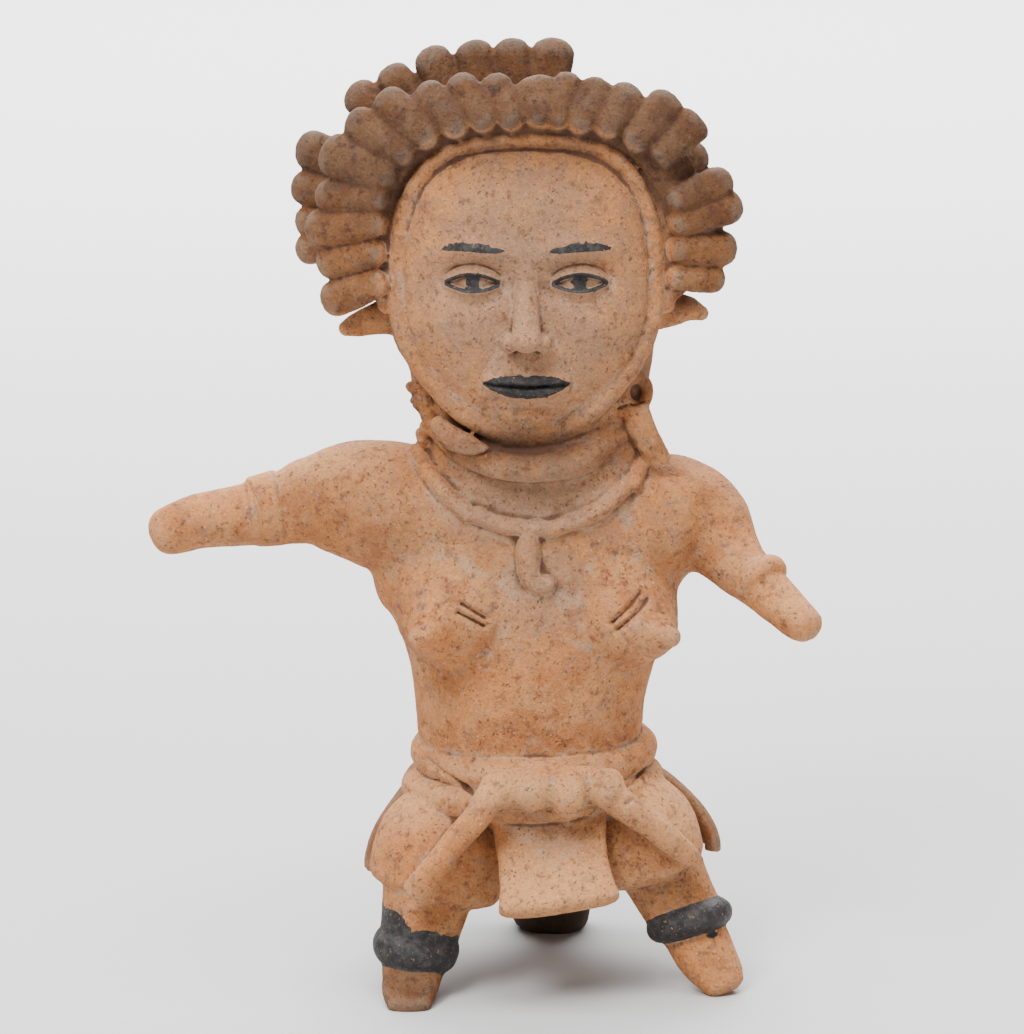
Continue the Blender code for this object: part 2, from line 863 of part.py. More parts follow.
def belt_tie():
    """The belt's knot in front, and its two ends that hang over the hips."""
    deep = TIE_THICKNESS / 2 / SHARE
    knots = [
        pellet("knot_lobe", (-4.0, -50.6, 93.6), (9.8, 6.2, 9.2), (0, 0.3, 0)),
        pellet("knot_lobe", (10.6, -51.4, 92.6), (10.4, 6.8, 10.6)),
        pellet("knot_lobe", (25.2, -49.8, 94.0), (8.6, 6.2, 9.0), (0, -0.35, 0)),
    ]
    bow = sweep(
        "bow",
        (
            (-20.0, -48.0, 92.6, 8.0, deep * 1.1),
            (-10, -50, 94.4, 9.0, deep * 1.15),
            (5, -50.5, 95.6, 8.8, deep * 1.15),
            (20, -50, 95.6, 8.8, deep * 1.15),
            (29.5, -48, 94.6, 8.0, deep * 1.1),
        ),
    )
    right_end = sweep(
        "tie_right",
        (
            (-20.5, -49.5, 91.5, 6.6, deep),
            (-27, -53.0, 82.5, 5.7, deep),
            (-36, -55.0, 72.5, 5.4, deep),
            (-44.5, -55.5, 61.5, 5.6, deep),
            (-52.0, -54.0, 50.6, 6.2, deep * 0.9),
        ),
        squareness=2.3,
        blunt=0.7,
    )
    left_end = sweep(
        "tie_left",
        (
            (29, -49.0, 92, 6.8, deep),
            (37, -50.0, 85.5, 6.1, deep),
            (46, -49.0, 78.5, 5.7, deep * 0.95),
            (55, -46.0, 70.5, 5.4, deep * 0.9),
            (62.2, -41.5, 63.2, 4.6, deep * 0.8),
            (66.2, -38.5, 59.2, 3.2, deep * 0.65),
        ),
        squareness=2.3,
        blunt=0.8,
    )
    return knots + [bow, right_end, left_end]


def apron():
    """The stiff front flap, which flares and kicks forward to a thick lower edge."""
    deep = APRON_THICKNESS / 2 / SHARE
    return sweep(
        "apron",
        (
            (3.8, -35, 87, 23.8, deep * 0.75),
            (4.0, -39.5, 76, 24.0, deep * 0.8),
            (5.2, -46, 65, 23.2, deep * 0.85),
            (6.6, -53, 55, 23.8, deep),
            (7.8, -59, 46.8, 25.6, deep * 1.1),
        ),
        squareness=4.5,
        blunt=0.8,
        sides=40,
    )


def part_ring(centre, along, radius, start, end):
    """Points of a part of a ring round a limb. 0 degrees is the ring's top."""
    along = Vector(along).normalized()
    top = (Vector((0, 0, 1)) - along * along.z).normalized()
    side = along.cross(top)
    turns = [math.radians(start + (end - start) * k / 6) for k in range(7)]
    return [Vector(centre) + (top * math.cos(a) + side * math.sin(a)) * radius for a in turns]


def wrist_bands():
    """The flat band on the right wrist, and the plump coil over the top of the left arm."""
    right = sweep(
        "right_wrist_band",
        ((-110.5, -5.4, 205.0, 15.3, 14.2), (-121.5, -6.0, 203.4, 14.0, 13.1)),
        squareness=2.1,
        blunt=0.16,
    )
    cuff = part_ring((91, -36.5, 179.4), (9.5, -11, -8), 8.6, -70, 112)
    swell = (0.5, 0.85, 1, 1, 1, 0.9, 0.55)
    return [right] + coil("left_wrist_cuff", cuff, CUFF_COIL, swell=swell)


def pressed_on(surface):
    made = [crown(), apron(), skirt_sheet(), choker_lip()]
    made += hip_cloth() + feet() + nipples() + snapped_petals()
    made += front_petals() + back_petals() + ear_lugs() + ear_ornaments()
    made += hood_rim() + hood_roll() + nose() + choker() + necklace(surface)
    made += belt() + belt_tie() + wrist_bands()
    made.append(ankle_band("right_ankle_band", (-52.6, -34, 19.8), 10.8, RIGHT_ANKLE_COIL, (9, 8)))
    made.append(ankle_band("left_ankle_band", (63.8, -25, 28.8), 12.6, LEFT_ANKLE_COIL, (-17, -15)))
    return made


# Modelling of the face, and the lines cut with a stick


def bump(value, middle, width):
    return np.exp(-(((value - middle) / width) ** 2))


def face_relief(x, z):
    """How far the face stands forward of its dome, in shares: positive towards the viewer."""
    out = np.abs(x - FACE_X)
    eye = out - EYE_OUT
    arch = BROW_Z + 2.6 * bump(out, EYE_OUT * 1.1, EYE_HALF * 1.3)
    relief = 1.6 * bump(z, arch, 4.5) * bump(out, EYE_OUT * 0.9, EYE_HALF * 1.5)
    relief -= 3.4 * bump(eye, -1, EYE_HALF * 1.15) * bump(z, EYE_Z + 1, 7.0)
    relief += 3.2 * bump(eye, 0, EYE_HALF * 0.85) * bump(z, EYE_Z, 5.4)
    relief += 2.2 * bump(out, 31, 14) * bump(z, NOSE_BASE_Z + 10, 14)
    relief += 3.4 * bump(out, 0, 19) * bump(z, MOUTH_Z, 12)
    relief += 4.0 * bump(out, 0, 12) * bump(z, CHIN_Z + 9, 7.5)
    relief -= 1.7 * bump(out, 0, 13) * bump(z, MOUTH_Z - 10, 3.2)
    relief -= 0.9 * bump(out, 0, 2.0) * bump(z, (MOUTH_Z + NOSE_BASE_Z) / 2 + 1, 4.0)
    return relief


def lid_curves(eye):
    """Heights of the upper and the lower edge of the eye's opening."""
    open_share = np.clip(1 - (eye / EYE_HALF) ** 2, 0, 1)
    return EYE_Z + 3.6 * open_share, EYE_Z - 2.4 * open_share


def lip_curves(out):
    """Heights of the upper lip's top, of the line between the lips, and of the lower lip's foot."""
    half = NOSE_HALF * 2.0
    share = np.clip(1 - (out / half) ** 2, 0, 1)
    top = MOUTH_Z + 5.2 * share ** 0.8 - 1.2 * bump(out, 0, 2.6)
    line = MOUTH_Z - 0.4 * bump(out, 0, 6)
    foot = MOUTH_Z - 6.0 * share ** 0.9
    return top, line, foot, share


def face_detail(x, z):
    """Eyelids, lips and nostrils."""
    out = np.abs(x - FACE_X)
    eye = out - EYE_OUT
    upper, lower = lid_curves(eye)
    near = np.clip(1.25 - (eye / EYE_HALF) ** 2, 0, 1) ** 0.5
    relief = 1.0 * bump(z, upper + 1.0, 1.5) * near + 0.7 * bump(z, lower - 1.0, 1.3) * near
    opening = np.clip((z - lower) / 1.2, 0, 1) * np.clip((upper - z) / 1.2, 0, 1)
    relief -= 1.1 * opening
    top, line, foot, share = lip_curves(out)
    lips = share ** 0.5
    relief += 2.3 * lips * bump(z, (top + line) / 2, 3.0)
    relief += 2.6 * lips * bump(z, (foot + line) / 2, 3.4)
    relief -= 2.4 * bump(z, line, 1.1) * np.clip(share * 4, 0, 1)
    relief -= 2.2 * bump(out, 4.6, 1.9) * bump(z, NOSE_BASE_Z + 1.0, 1.7)
    return relief


def line_depth(x, z, start, end, width, depth):
    """A straight line cut from start to end, deepest in the middle."""
    start, end = np.array(start, float), np.array(end, float)
    way = end - start
    length = np.linalg.norm(way)
    way /= length
    along = np.clip((x - start[0]) * way[0] + (z - start[1]) * way[1], 0, length)
    away = np.hypot(x - start[0] - way[0] * along, z - start[1] - way[1] * along)
    return depth * np.exp(-((away / width) ** 2))


CUT_LINES = (
    ((-32.7, 172.6), (-22.3, 165.4)),
    ((-34.0, 169.2), (-23.1, 161.9)),
    ((41.8, 176.5), (29.4, 164.1)),
    ((44.8, 173.9), (31.5, 161.1)),
)


def carve(obj):
    """Moves the skin's front for the face and for the cut lines over each breast."""
    mesh = obj.data
    co = np.empty(len(mesh.vertices) * 3)
    mesh.vertices.foreach_get("co", co)
    co = co.reshape(-1, 3) / SHARE
    x, y, z = co.T
    tall = FACE_MIDDLE_Z - CHIN_Z
    away = np.hypot((x - FACE_X) / (FACE_HALF_WIDTH * 0.94), (z - FACE_MIDDLE_Z) / tall)
    on_face = np.clip((1 - away) / 0.12, 0, 1) * (y < -20)
    co[:, 1] -= (face_relief(x, z) + face_detail(x, z)) * on_face
    on_chest = (y < -15) & (z > 150) & (z < 190)
    for start, end in CUT_LINES:
        co[:, 1] += line_depth(x, z, start, end, 1.1, 2.4) * on_chest
    mesh.vertices.foreach_set("co", (co * SHARE).ravel())
    mesh.update()


# The finished figure


def fewer_faces(obj, triangles):
    """Lets the faces grow where the skin is plain, down to so many triangles."""
    obj.data.calc_loop_triangles()
    facet = obj.modifiers.new("Fewer faces", "DECIMATE")
    facet.ratio = triangles / len(obj.data.loop_triangles)
    return applied(obj)


def middle_over_origin(obj):
    """Puts the origin under the middle of the figure's box."""
    co = np.array([v.co for v in obj.data.vertices])
    middle = (co.min(0) + co.max(0)) / 2
    obj.data.transform(Matrix.Translation((-middle[0], -middle[1], 0)))


def cut_soles(obj):
    """Cuts the feet and the support flat where they stand."""
    cutters = bpy.data.collections.new("Cutters")
    bpy.context.scene.collection.children.link(cutters)
    bpy.ops.mesh.primitive_cube_add(size=1, location=(0, 0, -FIGURE_HEIGHT / 2))
    ground = bpy.context.object
    ground.name = "ground_cutter"
    ground.scale = (FIGURE_HEIGHT * 2, FIGURE_HEIGHT * 2, FIGURE_HEIGHT)
    for collection in list(ground.users_collection):
        collection.objects.unlink(ground)
    cutters.objects.link(ground)
    ground.hide_render = True
    ground.display_type = "WIRE"
    cut = obj.modifiers.new("Flat soles", "BOOLEAN")
    cut.operation = "DIFFERENCE"
    cut.object = ground


def in_own_collection(obj, title):
    """Moves the finished figure into the collection that is named for it."""
    own = bpy.data.collections.new(title)
    bpy.context.scene.collection.children.link(own)
    for collection in list(obj.users_collection):
        collection.objects.unlink(obj)
    own.objects.link(obj)


def fired_clay():
    material = bpy.data.materials.new("fired_clay")
    material.use_nodes = True
    shader = material.node_tree.nodes["Principled BSDF"]
    shader.inputs["Base Color"].default_value = (*CLAY, 1)
    shader.inputs["Roughness"].default_value = CLAY_ROUGHNESS
    shader.inputs["Metallic"].default_value = 0.0
    return material


def modelled_figure():
    core = body()
    forms = pressed_on(surface_of(core))
    figure = press_together("standing_female_figure", [core] + forms, SKIN_GRAIN, SKIN_WORKING)
    carve(figure)
    fewer_faces(figure, SKIN_TRIANGLES)
    return figure


def main():
    clear_scene()
    figure = modelled_figure()
    middle_over_origin(figure)
    cut_soles(figure)
    in_own_collection(figure, "Standing female figure")
    figure.data.materials.clear()
    figure.data.materials.append(fired_clay())
    figure.data.shade_smooth()


if __name__ == "__main__":
    main()
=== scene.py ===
# %% [markdown]
# # A standing figure in fired clay
#
# The real figure is hollow, made by hand and fired in one piece. Its maker shaped the masses of the
# body, worked them smooth, and then pressed on coils, pads and petals of clay. This lesson follows
# that order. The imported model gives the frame, the size and the place of everything.

import math

import bmesh
import bpy
import numpy as np
from mathutils import Matrix, Vector, noise
from mathutils.bvhtree import BVHTree


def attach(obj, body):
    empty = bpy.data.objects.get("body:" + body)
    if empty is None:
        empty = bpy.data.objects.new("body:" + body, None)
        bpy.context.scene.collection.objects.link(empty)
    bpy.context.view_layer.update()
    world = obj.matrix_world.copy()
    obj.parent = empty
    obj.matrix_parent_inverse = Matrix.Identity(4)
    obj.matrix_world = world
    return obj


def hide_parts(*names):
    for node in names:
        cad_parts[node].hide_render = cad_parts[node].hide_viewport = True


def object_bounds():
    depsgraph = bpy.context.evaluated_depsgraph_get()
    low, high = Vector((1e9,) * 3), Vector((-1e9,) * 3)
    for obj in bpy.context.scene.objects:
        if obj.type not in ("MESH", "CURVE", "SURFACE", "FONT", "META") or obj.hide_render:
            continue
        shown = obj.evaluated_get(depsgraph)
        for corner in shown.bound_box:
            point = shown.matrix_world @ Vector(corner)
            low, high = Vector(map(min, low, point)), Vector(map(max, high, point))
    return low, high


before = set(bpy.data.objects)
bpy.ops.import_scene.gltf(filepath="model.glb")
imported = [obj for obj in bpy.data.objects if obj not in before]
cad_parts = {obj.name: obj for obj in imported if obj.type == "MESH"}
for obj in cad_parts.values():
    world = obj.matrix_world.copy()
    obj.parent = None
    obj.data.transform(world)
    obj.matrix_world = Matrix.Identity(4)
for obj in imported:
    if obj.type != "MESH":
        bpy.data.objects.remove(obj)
NODE = "standing_female_figure"
cad_box = [list(corner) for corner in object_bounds()]
print("packed box in metres:", [[round(v, 4) for v in corner] for corner in cad_box])

# %% [markdown]
# ## Measures
#
# A figure is drawn in shares of its height, as a carver's pattern is. Here 400 shares make the
# figure, so one share is close to a millimetre. The thicknesses of the clay are in metres, because
# fingers roll a coil to the same thickness on a small figure and on a large one.

# %% Shares and thicknesses
FIGURE_HEIGHT = cad_box[1][2] - cad_box[0][2]
SHARE = FIGURE_HEIGHT / 400
BELT_COIL = 0.0154
CHOKER_COIL = 0.0120
NECKLACE_COIL = 0.0072
RIM_COIL = 0.0060
RIGHT_ANKLE_COIL = 0.0160
LEFT_ANKLE_COIL = 0.0125
PETAL_THICKNESS = 0.0135
APRON_THICKNESS = 0.0096
SKIRT_THICKNESS = 0.0050
TIE_THICKNESS = 0.0106
CUFF_COIL = 0.0112
HOOD_ROLL = 0.0150
print("one share is", round(SHARE * 1000, 4), "mm")

# %% [markdown]
# ## Clay tools
#
# Four tools make nearly every form. A loft has a section that changes along its way, like an arm.
# A coil is rolled to one thickness, like a belt, and a ring is a coil closed on itself. A pellet is
# a ball pressed to three half sizes. They are laid over each other without care for their joints,
# because a later step closes them all into one skin.


# %% Smooth ways
def smooth_rows(rows, steps):
    """A smooth curve through rows of numbers, with so many steps between neighbours."""
    rows = np.array(rows, float)
    ends = np.vstack([2 * rows[0] - rows[1], rows, 2 * rows[-1] - rows[-2]])
    made = []
    for i in range(len(rows) - 1):
        a, b, c, d = ends[i : i + 4]
        for k in range(steps):
            t = k / steps
            bend = 2 * b + (c - a) * t + (2 * a - 5 * b + 4 * c - d) * t * t
            made.append(0.5 * (bend + (3 * b - a - 3 * c + d) * t ** 3))
    made.append(rows[-1])
    return np.array(made)


# Turns from the last row to the tip of a rounded end, in radians
CAP_TURNS = (0.35, 0.7, 1.0, 1.25, 1.42)


def round_ends(rows, blunt):
    """Adds shrinking rows past both ends, so that a form closes in a rounded end."""
    def cap(last, before):
        way = (last[:3] - before[:3]) / np.linalg.norm(last[:3] - before[:3])
        made = []
        for turn in CAP_TURNS:
            row = last.copy()
            row[:3] += way * last[3:].min() * blunt * math.sin(turn)
            row[3:] *= math.cos(turn)
            made.append(row)
        return made

    start = cap(rows[0], rows[1])[::-1]
    return np.array(start + list(rows) + cap(rows[-1], rows[-2]))


print("a way of 4 rows becomes", len(smooth_rows([(0, 0), (1, 0), (2, 1), (3, 1)], 4)), "rows")


# %% Loft, coil, ring and pellet
# Steps between two rows that are given, and points of a closed way
LOFT_STEPS = 5
COIL_STEPS = 6
OVAL_POINTS = 96


def new_object(name, data):
    obj = bpy.data.objects.new(name, data)
    bpy.context.scene.collection.objects.link(obj)
    return obj


def mesh_from(bm, name):
    mesh = bpy.data.meshes.new(name)
    bm.to_mesh(mesh)
    bm.free()
    return new_object(name, mesh)


def close_rings(bm, rings):
    """Joins rings of points into one closed tube."""
    for low, high in zip(rings, rings[1:]):
        for k in range(len(low)):
            bm.faces.new((low[k], low[k - 1], high[k - 1], high[k]))
    bm.faces.new(rings[0])
    bm.faces.new(rings[-1][::-1])
    bmesh.ops.recalc_face_normals(bm, faces=bm.faces)


def loft(name, *rows, facing=(0, -1, 0), squareness=2.0, blunt=1.0, sides=32):
    """A form from rows of x, y, z, half width and half depth. The depth points along facing."""
    rows = round_ends(smooth_rows(rows, LOFT_STEPS), blunt) * SHARE
    facing = Vector(facing).normalized()
    turns = [2 * math.pi * k / sides for k in range(sides)]
    bm = bmesh.new()
    rings = []
    for i, row in enumerate(rows):
        ahead = rows[min(i + 1, len(rows) - 1)][:3] - rows[max(i - 1, 0)][:3]
        ahead = Vector(ahead).normalized()
        across = facing.cross(ahead).normalized()
        outward = ahead.cross(across)
        ring = []
        for turn in turns:
            c, s = math.cos(turn), math.sin(turn)
            c = math.copysign(abs(c) ** (2 / squareness), c) * row[3]
            s = math.copysign(abs(s) ** (2 / squareness), s) * row[4]
            ring.append(bm.verts.new(Vector(row[:3]) + across * c + outward * s))
        rings.append(ring)
    close_rings(bm, rings)
    return mesh_from(bm, name)


def pellet(name, centre, radii, turn=(0, 0, 0)):
    bpy.ops.mesh.primitive_uv_sphere_add(
        segments=32, ring_count=20, location=Vector(centre) * SHARE, rotation=turn
    )
    obj = bpy.context.object
    obj.name = name
    obj.scale = Vector(radii) * SHARE
    return obj


def coil(name, points, thickness, closed=False, swell=None):
    """A coil of one thickness in metres, with a ball on each open end. Swell changes it by shares."""
    rows = np.column_stack([points, np.ones(len(points)) if swell is None else swell])
    rows = rows if closed else smooth_rows(rows, COIL_STEPS)
    curve = bpy.data.curves.new(name, "CURVE")
    curve.dimensions = "3D"
    curve.bevel_depth = thickness / 2
    curve.bevel_resolution = 5
    curve.use_fill_caps = True
    spline = curve.splines.new("POLY")
    spline.points.add(len(rows) - 1)
    spline.use_cyclic_u = closed
    for point, row in zip(spline.points, rows):
        point.co = (*(row[:3] * SHARE), 1)
        point.radius = row[3]
    made = [new_object(name, curve)]
    if not closed:
        for row in (rows[0], rows[-1]):
            ball = (thickness / 2 / SHARE * row[3],) * 3
            made.append(pellet(name + "_end", row[:3], ball))
    return made


def ring(name, centre, turn, radius, thickness, segments=(48, 12)):
    """A ring turned by degrees about X, Y and Z. Its radius is in shares, its thickness in metres."""
    bpy.ops.mesh.primitive_torus_add(
        location=Vector(centre) * SHARE,
        rotation=[math.radians(degrees) for degrees in turn],
        major_segments=segments[0],
        minor_segments=segments[1],
        major_radius=radius * SHARE,
        minor_radius=thickness / 2,
    )
    obj = bpy.context.object
    obj.name = name
    return obj


def oval_way(middle, halves, height):
    """A closed way on an oval seen from above, at a height given by a function of the angle."""
    way = []
    for k in range(OVAL_POINTS):
        angle = 2 * math.pi * k / OVAL_POINTS
        x = middle[0] + halves[0] * math.cos(angle)
        y = middle[1] + halves[1] * math.sin(angle)
        way.append((x, y, height(angle)))
    return way


masses = []
print("tools are ready: loft, coil, ring and pellet")

# %% [markdown]
# ## Torso and head
#
# The torso is a squared oval that narrows at the waist. The head is a second form on the same
# axis, and runs up behind the face as the hair does. Rows of half widths are the best way to hold
# both outlines, because each row is one level that can be read and changed by itself.

# %% Torso and head
masses.append(loft(
    "torso",
    (0, 0, 66, 38, 33),
    (-2, -1, 84, 43, 36),
    (-3, -1, 97, 45.5, 36.5),
    (-4, -1, 109, 48.6, 36.5),
    (-4.3, -1, 122, 49.3, 37.3),
    (-3.8, 0, 136, 52, 38),
    (-3.4, 1, 153, 58.2, 38.5),
    (-3.4, 1, 164, 61.8, 38.5),
    (-4.2, 1, 174, 66.8, 37.5),
    (-3.6, 0, 187, 67.8, 36.5),
    (-1, -1, 200, 66, 36),
    (2, -2, 213, 61, 34),
    (2, -2, 222, 50, 31),
    squareness=2.3, blunt=0.25, sides=48,
))
masses.append(loft(
    "head",
    (-1, -3, 214, 46, 33),
    (-1.5, -2, 230, 47, 34),
    (-1.8, 1, 245, 48.3, 35.5),
    (-3.6, 3, 258, 50.3, 37),
    (-4.2, 4, 270, 52.4, 40),
    (-5.4, 4, 282, 57.4, 42.5),
    (-5.8, 4, 296, 59.4, 44),
    (-6.2, 4, 312, 58, 45),
    (-6, 4, 335, 57, 44),
    (-6, 4, 352, 53, 41),
    (-6, 4, 364, 44, 33),
    squareness=2.2, blunt=0.35, sides=48,
))
print("forms so far:", [form.name for form in masses])

# %% [markdown]
# ## The plain front of the face
#
# The face starts as a shallow dome, framed by the hood's squared arch and a plain oval jaw. The
# features come later, and sit where a drawing manual puts them: the eyes half way up the head, the
# nose and the brow at thirds between chin and hairline, and the face five eyes wide.

# %% Where a drawing manual puts the features
FACE_X = -6.0
CHIN_Z = 239.0
CROWN_Z = 376.0
HEAD_TALL = CROWN_Z - CHIN_Z
FACE_HALF_WIDTH = 55.0
FACE_WIDEST_Z = 300.0
ARCH_TOP_Z = 366.0
ARCH_SQUARENESS = 2.9
FACE_FRONT_Y = -46.0
EYE_Z = CHIN_Z + HEAD_TALL / 2
HAIRLINE_Z = CHIN_Z + HEAD_TALL * 7 / 8
THIRD = (HAIRLINE_Z - CHIN_Z) / 3
FACE_MIDDLE_Z = (HAIRLINE_Z + CHIN_Z) / 2
NOSE_BASE_Z = CHIN_Z + THIRD
BROW_Z = CHIN_Z + 2 * THIRD
MOUTH_Z = NOSE_BASE_Z - THIRD / 3
EYE_HALF = FACE_HALF_WIDTH / 5
EYE_OUT = 2 * EYE_HALF
NOSE_HALF = EYE_HALF * 0.85
print("eye line", EYE_Z, "brow", round(BROW_Z, 1), "nose base", round(NOSE_BASE_Z, 1))


# %% Face dome
def face_outline(angle, share=1.0):
    """The edge of the hood: a squared arch above, and a plain oval jaw below."""
    across, up = math.cos(angle), math.sin(angle)
    if up > 0:
        across = math.copysign(abs(across) ** (2 / ARCH_SQUARENESS), across)
        up = up ** (2 / ARCH_SQUARENESS)
        tall = ARCH_TOP_Z - FACE_WIDEST_Z
    else:
        across *= 1 - 0.17 * (-up) ** 1.6
        tall = FACE_WIDEST_Z - CHIN_Z
    x = FACE_X + FACE_HALF_WIDTH * across * share
    z = FACE_WIDEST_Z + tall * up * share
    return x, z


DOME_DEPTH = 27.0
DOME_BACK_Y = 6


def face_dome():
    sides, rings = 72, 18
    bm = bmesh.new()
    made = []
    back = [face_outline(2 * math.pi * i / sides, 0.9) for i in range(sides)]
    made.append([bm.verts.new(Vector((x, DOME_BACK_Y, z)) * SHARE) for x, z in back])
    for k in range(rings):
        rise = 0.5 * math.pi * k / (rings - 1)
        share = max(math.cos(rise), 0.01)
        y = FACE_FRONT_Y + DOME_DEPTH - DOME_DEPTH * math.sin(rise) ** 0.8
        ring = [face_outline(2 * math.pi * i / sides, share) for i in range(sides)]
        made.append([bm.verts.new(Vector((x, y, z)) * SHARE) for x, z in ring])
    close_rings(bm, made)
    return mesh_from(bm, "face_dome")


masses.append(face_dome())
print("the face is", 2 * FACE_HALF_WIDTH, "shares wide, five eyes of", 2 * EYE_HALF)

# %% [markdown]
# ## Arms, breasts, legs and the rear support
#
# The arms end in plain rounded tips, with no hands. Each breast is a broad cone that runs out
# softly into the chest. The legs are short and splayed, and a third leg behind the skirt lets the
# figure stand. Lofts suit all of them, since each one only swells or tapers along its way.

# %% Arms
masses.append(loft(
    "right_arm",
    (-50, -1, 203, 26, 31),
    (-66, -2, 205.4, 28, 27),
    (-80.6, -2, 207.4, 25.8, 22),
    (-97.4, -4, 207.4, 19.8, 16.4),
    (-107.9, -5, 204.6, 15.8, 14.3),
    (-124.8, -6, 202.1, 13.5, 12.6),
    (-143.7, -8, 199.7, 12.3, 11.2),
    (-157.5, -9.5, 195.4, 11.0, 9.6),
    blunt=0.85,
))
masses.append(loft(
    "left_arm",
    (46, -1, 202, 26, 25),
    (61, -4, 201.4, 27.0, 23),
    (71, -9.5, 196.8, 21.2, 20),
    (78.4, -19, 189.4, 14.5, 15),
    (86.7, -32, 182.3, 12.0, 11.6),
    (97.0, -43, 175.4, 10.8, 10.0),
    (108.6, -54.2, 166.4, 9.4, 8.6),
    facing=(0.55, -0.45, 0.7), blunt=0.9,
))
masses.append(pellet("left_breastbone", (50, -12, 200), (24, 23, 23)))
print("forms so far:", len(masses))

# %% Breasts
masses.append(loft(
    "right_breast",
    (-33, -16, 166, 28, 30),
    (-38, -26, 163.5, 24, 25),
    (-43, -35, 161.3, 17, 17.5),
    (-46.5, -42.5, 160, 10.4, 10.6),
    (-49, -47, 159.7, 6, 6),
    facing=(0, 0, 1),
))
masses.append(loft(
    "left_breast",
    (33, -16, 165.5, 26, 29),
    (38.5, -25, 162.6, 23, 24),
    (44, -33.5, 160.3, 17.2, 17.6),
    (49, -40.8, 159.3, 10.8, 11),
    (52, -45.5, 159.3, 6.2, 6.2),
    facing=(0, 0, 1),
))
masses.append(pellet("right_swelling", (-33, -18, 168), (30, 21.5, 31)))
masses.append(pellet("left_swelling", (29, -18, 168), (27, 21.5, 31)))
print("forms so far:", len(masses))

# %% Legs and rear support
masses.append(loft(
    "right_leg",
    (-25, -2, 74, 21, 23),
    (-40, -13, 62, 23, 23),
    (-46, -22, 47, 21, 20),
    (-49.6, -28, 33, 18.6, 18.5),
    (-52, -33, 20, 17, 15.5),
    blunt=0.4,
))
masses.append(loft(
    "left_leg",
    (25, -2, 76, 21, 23),
    (43, -11, 66, 23, 23),
    (51.6, -16, 50, 18.8, 20),
    (58.8, -20, 36, 16.9, 18),
    (65, -24.5, 26, 15.5, 15),
    blunt=0.4,
))
masses.append(loft(
    "rear_support",
    (1, 12, 84, 25, 22),
    (3, 32, 62, 20, 18),
    (5, 47, 38, 18, 16),
    (5.6, 54, 18, 18.4, 16.5),
    (5.2, 55.5, 3.5, 17.6, 16),
    squareness=2.6, blunt=0.35,
))
print("forms so far:", len(masses))

# %% [markdown]
# ## Closing the skin
#
# Lofts that overlap are still separate shells. A voxel remesh keeps only what can be seen from
# outside and makes one skin of it, and a Smooth modifier then works the joints, as wet fingers do.
# The body is worked hard. What is pressed on later is hardly worked, so its edges stay crisp.


# %% Press forms together
def evaluated_mesh(obj):
    graph = bpy.context.evaluated_depsgraph_get()
    mesh = bpy.data.meshes.new_from_object(obj.evaluated_get(graph))
    mesh.transform(obj.matrix_world)
    return mesh


def applied(obj):
    """The object with its modifiers made permanent."""
    bpy.context.view_layer.update()
    mesh = evaluated_mesh(obj)
    obj.modifiers.clear()
    obj.data = mesh
    return obj


def press_together(name, forms, grain, working):
    """One skin over forms that overlap. Grain is the size of its faces, in metres."""
    bpy.context.view_layer.update()
    joined = bmesh.new()
    for form in forms:
        mesh = evaluated_mesh(form)
        joined.from_mesh(mesh)
        bpy.data.meshes.remove(mesh)
        bpy.data.objects.remove(form)
    obj = mesh_from(joined, name)
    close = obj.modifiers.new("Close the skin", "REMESH")
    close.mode = "VOXEL"
    close.voxel_size = grain
    smooth = obj.modifiers.new("Work it smooth", "SMOOTH")
    smooth.factor = 0.5
    smooth.iterations = working
    return applied(obj)


BODY_GRAIN = 0.0022
BODY_WORKING = 14
body = press_together("body", masses, BODY_GRAIN, BODY_WORKING)
print("the body has", len(body.data.polygons), "faces")


# %% Lay things on the body
def surface_of(obj):
    return BVHTree.FromObject(obj, bpy.context.evaluated_depsgraph_get())


body_surface = surface_of(body)


def lay_on(points, lift):
    """Gives points (x, z) the depth of the body's front there, with so much clay proud."""
    laid = []
    for x, z in points:
        start = Vector((x * SHARE, -FIGURE_HEIGHT, z * SHARE))
        hit = body_surface.ray_cast(start, Vector((0, 1, 0)))[0]
        if hit is None:
            hit = body_surface.find_nearest(Vector((x * SHARE, -20 * SHARE, z * SHARE)))[0]
        laid.append((x, hit.y / SHARE - lift, z))
    return laid


print("the chest's front is at y =", round(lay_on([(0, 180)], 0)[0][1], 1))

# %% [markdown]
# ## The petalled headdress
#
# Two rows of flattened fingers of clay are pressed on an arched block behind the face. The front
# row stands over the brow and throws it into shade. Each petal is wider at its tip and leans its
# own way, so each has its own row of numbers here. A coil beds the feet of the front row. Petals
# that have snapped off stay missing.

# %% Crown block
CROWN_X = -5.5
CROWN_MIDDLE_Z = 322.0
SQUARED = 2.6
INNER_OVAL = (60.5, 50.5)
OUTER_OVAL = (88.0, 69.5)
BACK_OVAL = (98.0, 79.0)
CROWN_HALF_DEPTH = 20
CROWN_EDGE = 5
CROWN_FOOT_HALF = 40
CROWN_FOOT_Z = CHIN_Z + 46
CROWN_WAYS = range(-16, 199, 6)


def squared_oval(halves, degrees):
    """How far a squared oval reaches from the crown's middle in one direction."""
    c, s = math.cos(math.radians(degrees)), math.sin(math.radians(degrees))
    return (abs(c / halves[0]) ** SQUARED + abs(s / halves[1]) ** SQUARED) ** (-1 / SQUARED)


def on_crown(reach, degrees, y):
    angle = math.radians(degrees)
    return (CROWN_X + reach * math.cos(angle), y, CROWN_MIDDLE_Z + reach * math.sin(angle))


